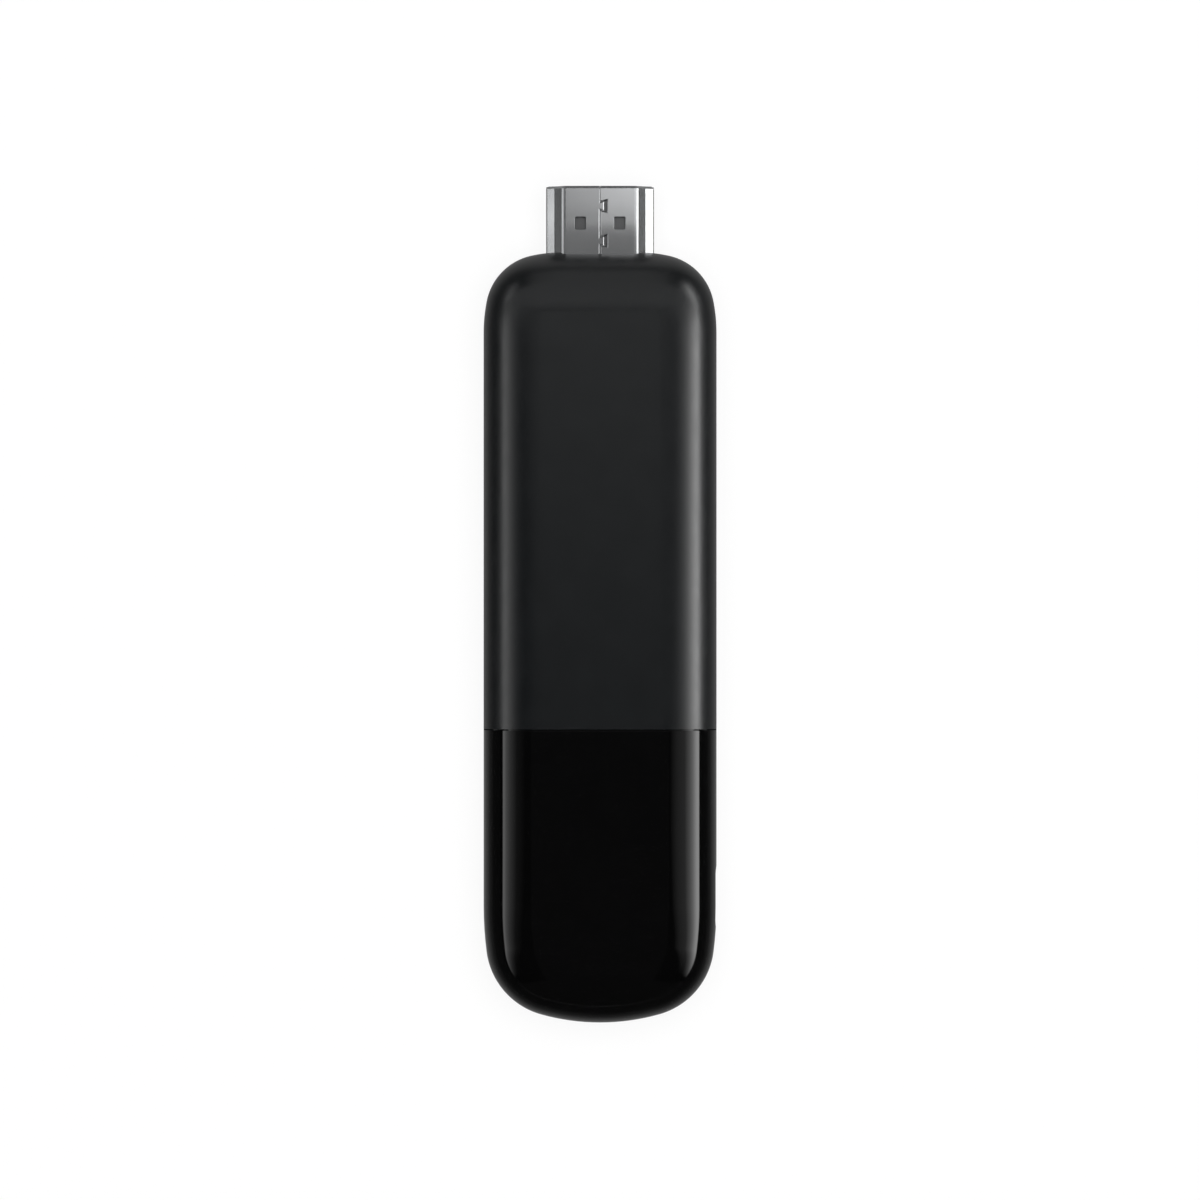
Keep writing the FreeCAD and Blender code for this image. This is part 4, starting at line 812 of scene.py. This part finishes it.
class STICK_OT_plug_shell(bpy.types.Operator):
    """Adds the plug's folded and plated sheet, with bends, tip bevel, latch windows and dovetailed seam"""

    bl_idname = "stick.plug_shell"
    bl_label = "Plug shell"
    bl_options = {"REGISTER", "UNDO"}

    def execute(self, context):
        plug = context.scene.stick_plug
        rear = PLUG_ROOT - PLUG_INSIDE
        tip = PLUG_HIGH.y
        right, left = plug_corners(plug, crown=plug.crown)
        ridge = [(0.0, PLUG_HIGH.z)]
        places = [(x, rear, z) for x, z in right + ridge + left]
        piece = draw_prism("plug_sheet", places, (0, tip - rear, 0))
        for (x, z), (width, segments, profile) in zip(right, BENDS):

            def along_bend(edge, x=x, z=z):
                ends = edge.verts
                return all(abs(abs(v.co.x) - x) < 0.01 * MM and abs(v.co.z - z) < 0.01 * MM for v in ends)

            choose(piece, "EDGE", along_bend)
            bevel(width, segments, profile)
        choose(piece, "FACE", lambda face: abs(face.normal.y) > 0.9)
        bpy.ops.mesh.delete(type="ONLY_FACE")
        leave_edit()
        thicken(piece, plug.sheet)

        def outer_tip(edge):
            away = middle_of(edge) - Vector((0, tip, THICKNESS / 2))
            outer = any(face.normal.dot(away) > 0.1 * MM for face in edge.link_faces)
            return outer and edge_lies(Y, tip)(edge)

        break_edges(piece, plug.tip_bevel, outer_tip, segments=1)
        for side in (1, -1):
            cut(piece, window_cutter(plug, side))
        cut(piece, seam_cutter(plug))
        for from_tip in DOVETAILS_FROM_TIP:
            cut(piece, dovetail_gap(plug, from_tip))

        def on_face(edge, low, high):
            place = middle_of(edge)
            across = low * MM < abs(place.x) < high * MM
            along = rear + 0.1 * MM < place.y < tip - 0.2 * MM
            return across and along and place.z > PLUG_HIGH.z - plug.crown - 0.03 * MM

        break_edges(piece, plug.window_break, lambda edge: on_face(edge, 1.5, 3.6), profile=0.36)
        break_edges(piece, plug.edge_break, lambda edge: on_face(edge, 0, 1.5), profile=0.38, clamp=False)
        finish = context.scene.stick_finishes
        material = sheet_metal("plated_plug_sheet", finish.plug, finish.plug_roughness)
        finish_piece(piece, material, "hdmi_shell", angle=12.0)
        return {"FINISHED"}


class STICK_OT_port_shell(bpy.types.Operator):
    """Adds the power port's folded sheet"""

    bl_idname = "stick.port_shell"
    bl_label = "Port shell"
    bl_options = {"REGISTER", "UNDO"}

    def execute(self, context):
        port = context.scene.stick_port
        mouth = PORT_HIGH.x
        depth, half, half_height = 5.0 * MM, 3.7 * MM, 1.25 * MM
        rear = mouth - depth
        middle_y = (PORT_LOW.y + PORT_HIGH.y) / 2
        high = THICKNESS / 2 + half_height
        low = THICKNESS / 2 - half_height
        upper = [(half, high), (half, high - port.side_height), (port.floor_width / 2, low)]
        section = upper + [(-y, z) for y, z in reversed(upper)]
        places = [(rear, middle_y + y, z) for y, z in section]
        piece = draw_prism("port_sheet", places, (mouth - rear, 0, 0))
        choose(piece, "EDGE", edge_runs(X))
        bevel(width=0.35 * MM, segments=6)
        choose(piece, "FACE", lambda face: abs(face.normal.x) > 0.9)
        bpy.ops.mesh.delete(type="ONLY_FACE")
        leave_edit()
        thicken(piece, port.sheet)
        break_edges(piece, width=0.08 * MM, wanted=edge_lies(X, mouth))
        finish = context.scene.stick_finishes
        material = sheet_metal("plated_port_sheet", finish.plug, 0.3)
        finish_piece(piece, material, "usb_shell")
        return {"FINISHED"}


class STICK_OT_inner_finishes(bpy.types.Operator):
    """Gives the CAD parts that stay, inside the housing and in the plug and port, their finishes"""

    bl_idname = "stick.inner_finishes"
    bl_label = "Inner finishes"
    bl_options = {"REGISTER", "UNDO"}

    def execute(self, context):
        finish = context.scene.stick_finishes
        core = matt_plastic("connector_plastic", (0.035, 0.036, 0.038), 0.36, grains=4000.0)
        gold = sheet_metal("gold_plating", finish.gold, 0.22, across=5000.0, along=900.0)
        chip = matt_plastic("chip_package", (0.02, 0.02, 0.022), 0.5, grains=5000.0)
        tin = sheet_metal("tinned_shield", (0.68, 0.68, 0.66), 0.34, across=6000.0, along=600.0)
        pad = soft_pad("silicone_pad", (0.30, 0.38, 0.46))
        plate = sheet_metal("spreader_aluminium", (0.78, 0.79, 0.80), 0.38)
        board = circuit_board("board_solder_mask", finish.board)
        ferrite = matt_plastic("inductor_ferrite", (0.07, 0.07, 0.075), 0.55, grains=3000.0)
        ceramic = matt_plastic("capacitor_ceramic", (0.42, 0.30, 0.20), 0.4, grains=3000.0)
        finished = (
            (core, "hdmi_insulator usb_insulator"),
            (gold, "hdmi_contacts_narrow_row hdmi_contacts_wide_row usb_contacts left_antenna right_antenna"),
            (board, "main_board"),
            (chip, "soc storage_chip power_chip memory_chips"),
            (tin, "front_shield_frame front_shield_lid rear_shield_frame rear_shield_lid radio_module crystal"),
            (ferrite, "inductors"),
            (ceramic, "capacitors"),
            (pad, "soc_thermal_pad front_thermal_pad rear_thermal_pad"),
            (plate, "front_heat_spreader rear_heat_spreader"),
        )
        for material, names in finished:
            for name in names.split():
                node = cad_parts[name]
                node.data.materials.clear()
                node.data.materials.append(material)
        return {"FINISHED"}


# Stage

# Ramps of light over the stage's cards: places and levels
RIGHT_RAMP = (
    (0.03, 0), (0.045, 1), (0.11, 0.98), (0.17, 0.72), (0.22, 0.5), (0.3, 0.28), (0.42, 0.085), (0.6, 0.05),
    (0.76, 0),
)
LEFT_RAMP = (
    (0.085, 0), (0.1, 1), (0.13, 1), (0.18, 0.64), (0.24, 0.43), (0.3, 0.27), (0.39, 0.13), (0.45, 0.05),
    (0.65, 0),
)
CANOPY_RAMP = ((0.0, 0.0), (0.064, 0.34), (0.13, 0.58), (0.21, 0.74), (0.43, 0.8), (1.0, 0.9))
PLUG_CARD_RAMP = ((0.0, 0.0), (0.12, 1.0), (1.0, 1.0))
SCREEN_RAMP = ((0.0, 0.8), (1.0, 0.8))
FLAG_RAMP = ((0.0, 0.3), (0.1, 0.2), (0.16, 0.09), (0.3, 0.027), (1.0, 0.02))
# Cards over the stick and over its plug: half width, places along the stick and height
CANOPY_HALF, CANOPY_FAR, CANOPY_HEIGHT = 0.3, 0.47, 0.35
CARD_HALF, CARD_NEAR, CARD_FAR, CARD_HEIGHT = 0.12, 0.05, 0.15, 0.11


def bare_material(name):
    """A material with no shader yet, and its node tree."""
    material = bpy.data.materials.new(name)
    material.use_nodes = True
    tree = material.node_tree
    tree.nodes.remove(tree.nodes["Principled BSDF"])
    return material, tree


def glowing(name, steps, strength, build_factor, build_fade=None):
    """A stage card's material: light by a ramp over build_factor(), falling off with build_fade()."""
    material, tree = bare_material(name)
    glow = add_node(tree, "Emission")
    ramp = add_node(tree, "ValToRGB")
    points = ramp.color_ramp.elements
    while len(points) < len(steps):
        points.new(1.0)
    for point, (place, level) in zip(points, steps):
        point.position = place
        point.color = (level, level, level, 1.0)
    tree.links.new(build_factor(tree), ramp.inputs["Fac"])
    tree.links.new(ramp.outputs["Color"], glow.inputs["Color"])
    set_sockets(glow, Strength=strength)
    if build_fade:
        tree.links.new(maths(tree, "MULTIPLY", build_fade(tree), strength), glow.inputs["Strength"])
    tree.links.new(glow.outputs[0], tree.nodes["Material Output"].inputs["Surface"])
    return material


def maths(tree, operation, *terms):
    """A maths node whose terms are numbers or sockets."""
    node = add_node(tree, "Math", operation=operation)
    for i, term in enumerate(terms):
        if isinstance(term, (int, float)):
            node.inputs[i].default_value = term
        else:
            tree.links.new(term, node.inputs[i])
    return node.outputs[0]


def limit(tree, term, low, high):
    return maths(tree, "MINIMUM", maths(tree, "MAXIMUM", term, low), high)


def coordinates(tree, kind="Object"):
    """The X, Y and Z sockets of a kind of coordinate."""
    place = add_node(tree, "TexCoord")
    parts = add_node(tree, "SeparateXYZ")
    tree.links.new(place.outputs[kind], parts.inputs[0])
    return parts.outputs


def mix_shaders(tree, factor, first, second):
    """The first shader where the factor is 0, and the second where it is 1."""
    mix = add_node(tree, "MixShader")
    for socket, term in zip(mix.inputs, (factor, first, second)):
        tree.links.new(term, socket)
    return mix.outputs[0]


def turn_share(tree):
    """Turn at which the housing's corners see a place on a softbox: 0 beside the stick, 1 at 38 degrees."""
    corners_low, corners_high = -44 * MM, 38 * MM
    x, y, _ = coordinates(tree)
    towards_plug = maths(tree, "MULTIPLY", maths(tree, "SUBTRACT", y, corners_high), 0.5)
    beyond = maths(tree, "MAXIMUM", maths(tree, "SUBTRACT", corners_low, y), towards_plug)
    turn = maths(tree, "ARCTAN2", beyond, maths(tree, "ABSOLUTE", x))
    return limit(tree, maths(tree, "DIVIDE", turn, math.radians(38)), 0.0, 1.0)


def corner_fade(tree):
    """Share that falls from 1 beside the stick to 0 round its corners."""
    return maths(tree, "SUBTRACT", 1.0, maths(tree, "POWER", turn_share(tree), 1.4))


def elevation_share(tree):
    """Elevation over the floor seen from the stick, in right angles, growing round the corners."""
    x, _, z = coordinates(tree)
    angle = maths(tree, "ARCTAN2", z, maths(tree, "ABSOLUTE", x))
    taper = maths(tree, "MULTIPLY_ADD", turn_share(tree), 0.9, 1.0)
    return maths(tree, "MULTIPLY", maths(tree, "DIVIDE", angle, math.pi / 2), taper)


def canopy_share(tree):
    """Place along the canopy, from 0 over the stick's middle to 1 at its far edge."""
    _, y, _ = coordinates(tree)
    return maths(tree, "DIVIDE", y, CANOPY_FAR)


def over_plug_share(tree):
    """Place along the card over the plug, from 0 at its near edge to 1 at its far edge."""
    _, y, _ = coordinates(tree)
    return maths(tree, "DIVIDE", maths(tree, "SUBTRACT", y, CARD_NEAR), CARD_FAR - CARD_NEAR)


def rise_to_right(tree):
    """Share that grows from 0.3 in the card's left half to 1.7 in its right half, over 41 mm."""
    x, _, _ = coordinates(tree)
    return limit(tree, maths(tree, "MULTIPLY_ADD", x, 34.0, 1.0), 0.3, 1.7)


def canopy_fade(tree):
    """Share that falls from 1 over the stick to 0 at the canopy's sides."""
    x, _, _ = coordinates(tree)
    aside = maths(tree, "DIVIDE", maths(tree, "ABSOLUTE", x), CANOPY_HALF)
    return maths(tree, "SUBTRACT", 1.0, aside)


def distance_out(tree):
    """Distance outside the housing's edge, as a share of 100 mm, counted less beyond the plug."""
    x, y, _ = coordinates(tree)
    core_x, core_y, radius = 5 * MM, 42 * MM, 10 * MM
    aside = maths(tree, "SUBTRACT", maths(tree, "ABSOLUTE", x), core_x)
    beyond_plug = maths(tree, "MULTIPLY", maths(tree, "SUBTRACT", y, core_y), 0.15)
    beyond_end = maths(tree, "SUBTRACT", -core_y, y)
    out_x = maths(tree, "MAXIMUM", aside, 0.0)
    out_y = maths(tree, "MAXIMUM", maths(tree, "MAXIMUM", beyond_plug, beyond_end), 0.0)
    squares = [maths(tree, "MULTIPLY", out, out) for out in (out_x, out_y)]
    distance = maths(tree, "SQRT", maths(tree, "ADD", *squares))
    distance = maths(tree, "SUBTRACT", distance, radius)
    return maths(tree, "DIVIDE", distance, 100 * MM)


def stage_card(name, corners, material):
    """A flat card through four corners that only reflections see."""
    piece = draw_path(name, corners)
    close_loop()
    leave_edit()
    piece.data.materials.append(material)
    for ray in ("camera", "diffuse", "shadow", "transmission"):
        setattr(piece, "visible_" + ray, False)


def floor_material():
    """Pale floor that views and reflections see as white, and that keeps the object's shadow."""
    material, tree = bare_material("pale_floor")
    diffuse = add_node(tree, "BsdfDiffuse")
    glow = add_node(tree, "Emission")
    set_sockets(diffuse, Color=(0.96, 0.96, 0.96, 1.0))
    set_sockets(glow, Strength=1.015)
    path = add_node(tree, "LightPath")
    seen = maths(tree, "MAXIMUM", path.outputs["Is Camera Ray"], path.outputs["Is Glossy Ray"])
    seen = maths(tree, "MAXIMUM", seen, path.outputs["Is Transmission Ray"])
    white_share = maths(tree, "MULTIPLY", seen, 0.88)
    upper = mix_shaders(tree, white_share, diffuse.outputs[0], glow.outputs[0])
    under = add_node(tree, "BsdfTransparent")
    facing = add_node(tree, "NewGeometry")
    both = mix_shaders(tree, facing.outputs["Backfacing"], upper, under.outputs[0])
    tree.links.new(both, tree.nodes["Material Output"].inputs["Surface"])
    return material


def room(ambient):
    """Dim room light, with white behind the floor's edge for views and reflections."""
    world = bpy.data.worlds.new("studio_room")
    world.use_nodes = True
    tree = world.node_tree
    dim = tree.nodes["Background"]
    white = add_node(tree, "Background")
    set_sockets(dim, Color=WHITE, Strength=ambient)
    set_sockets(white, Color=WHITE)
    path = add_node(tree, "LightPath")
    seen = maths(tree, "MAXIMUM", path.outputs["Is Glossy Ray"], path.outputs["Is Transmission Ray"])
    low = maths(tree, "LESS_THAN", coordinates(tree, "Generated")[Z], 0.0)
    factor = maths(tree, "MAXIMUM", maths(tree, "MULTIPLY", seen, low), path.outputs["Is Camera Ray"])
    both = mix_shaders(tree, factor, dim.outputs[0], white.outputs[0])
    tree.links.new(both, tree.nodes["World Output"].inputs["Surface"])
    bpy.context.scene.world = world


def lying(half, near, far):
    """Corners of a card lying across the stick, whose edges are places along it with a height."""
    return [(-half, *near), (-half, *far), (half, *far), (half, *near)]


def standing(half, foot, head):
    """The same for a standing card."""
    return [(-half, *foot), (half, *foot), (half, *head), (-half, *head)]


def softbox(name, side, ramp, power):
    """A strip light beside the stick, on its right (1) or left (-1)."""
    (foot, low), (head, high), end = (0.6, 0.01), (0.22, 0.6), side * 0.6
    corners = [(foot, -end, low), (foot, end, low), (head, end, high), (head, -end, high)]
    material = glowing(name, ramp, power, elevation_share, corner_fade)
    stage_card(name, [(side * x, y, z) for x, y, z in corners], material)


class STICK_OT_stage(bpy.types.Operator):
    """Sets the pale floor, the softboxes, the dark flags and the camera over the stick"""

    bl_idname = "stick.stage"
    bl_label = "Stage"
    bl_options = {"REGISTER", "UNDO"}

    def execute(self, context):
        studio = context.scene.stick_studio
        deselect()
        bpy.ops.mesh.primitive_plane_add(size=8.0, location=(0, 0, 0))
        floor = context.object
        floor.name = "studio_floor"
        floor.data.materials.append(floor_material())
        room(studio.ambient)

        softbox("right_softbox", 1, RIGHT_RAMP, studio.right_box)
        softbox("left_softbox", -1, LEFT_RAMP, studio.left_box)
        canopy = glowing("canopy", CANOPY_RAMP, studio.canopy, canopy_share, canopy_fade)
        far_edge = (CANOPY_FAR, CANOPY_HEIGHT)
        stage_card("canopy", lying(CANOPY_HALF, (0, CANOPY_HEIGHT), far_edge), canopy)
        stage_card("back_card", standing(CANOPY_HALF, (0.5, 0.05), far_edge), canopy)
        over_plug = glowing("plug_card", PLUG_CARD_RAMP, studio.plug_card, over_plug_share, rise_to_right)
        near_edge = (CARD_NEAR, CARD_HEIGHT)
        stage_card("plug_card", lying(CARD_HALF, near_edge, (CARD_FAR, CARD_HEIGHT)), over_plug)
        screen = glowing("screen", SCREEN_RAMP, studio.canopy, canopy_share)
        stage_card("screen", standing(CARD_HALF, (CARD_NEAR, 0.02), near_edge), screen)

        reach, height = 3.9, 0.1 * MM
        for side, name in ((1, "right_flag"), (-1, "left_flag")):
            corners = [(0, -reach), (side * reach, -reach), (side * reach, reach), (0, reach)]
            flag = glowing(name, FLAG_RAMP, 1.0, distance_out)
            stage_card(name, [(x, y, height) for x, y in corners], flag)

        lamp = bpy.data.lights.new("overhead", "AREA")
        lamp.shape = "DISK"
        lamp.size = 1.6
        lamp.energy = studio.overhead
        overhead = bpy.data.objects.new("overhead", lamp)
        context.scene.collection.objects.link(overhead)
        overhead.location = (0.1, 0.1, 1.9)
        overhead.visible_glossy = False
        overhead.visible_camera = False

        data = bpy.data.cameras.new("studio_camera")
        camera = bpy.data.objects.new("studio_camera", data)
        context.scene.collection.objects.link(camera)
        data.lens = studio.lens
        data.sensor_width = 36.0
        distance = studio.view_width * studio.lens / data.sensor_width
        camera.location = (studio.aim_x, studio.aim_y, THICKNESS / 2 + distance)
        data.clip_start, data.clip_end = 0.1, 10.0
        context.scene.camera = camera
        context.scene.view_settings.view_transform = "Standard"
        return {"FINISHED"}


class STICK_PT_panel(bpy.types.Panel):
    """Lists the stick's tools in the 3D view's sidebar"""

    bl_idname = "STICK_PT_panel"
    bl_label = "Streaming media stick"
    bl_space_type = "VIEW_3D"
    bl_region_type = "UI"
    bl_category = "Stick"

    def draw(self, context):
        layout = self.layout
        for tool in TOOLS:
            layout.operator(tool.bl_idname)
        for group in GROUPS:
            settings = getattr(context.scene, group)
            box_layout = layout.box()
            for name in settings.__annotations__:
                box_layout.prop(settings, name)


TOOLS = (
    STICK_OT_rear_cover,
    STICK_OT_front_cover,
    STICK_OT_gloss_cap,
    STICK_OT_plug_shell,
    STICK_OT_port_shell,
    STICK_OT_inner_finishes,
    STICK_OT_stage,
)
GROUPS = {
    "stick_housing": HousingSizes,
    "stick_plug": PlugSizes,
    "stick_port": PortSizes,
    "stick_finishes": Finishes,
    "stick_studio": Studio,
}
CLASSES = (*GROUPS.values(), *TOOLS, STICK_PT_panel)


def register():
    for kind in CLASSES:
        bpy.utils.register_class(kind)
    for name, settings in GROUPS.items():
        setattr(bpy.types.Scene, name, bpy.props.PointerProperty(type=settings))


def unregister():
    for name in GROUPS:
        delattr(bpy.types.Scene, name)
    for kind in reversed(CLASSES):
        bpy.utils.unregister_class(kind)


def main():
    register()
    bpy.ops.stick.rear_cover()
    bpy.ops.stick.front_cover()
    bpy.ops.stick.gloss_cap()
    bpy.ops.stick.plug_shell()
    bpy.ops.stick.port_shell()
    bpy.ops.stick.inner_finishes()
    bpy.ops.stick.stage()


if __name__ == "__main__":
    main()
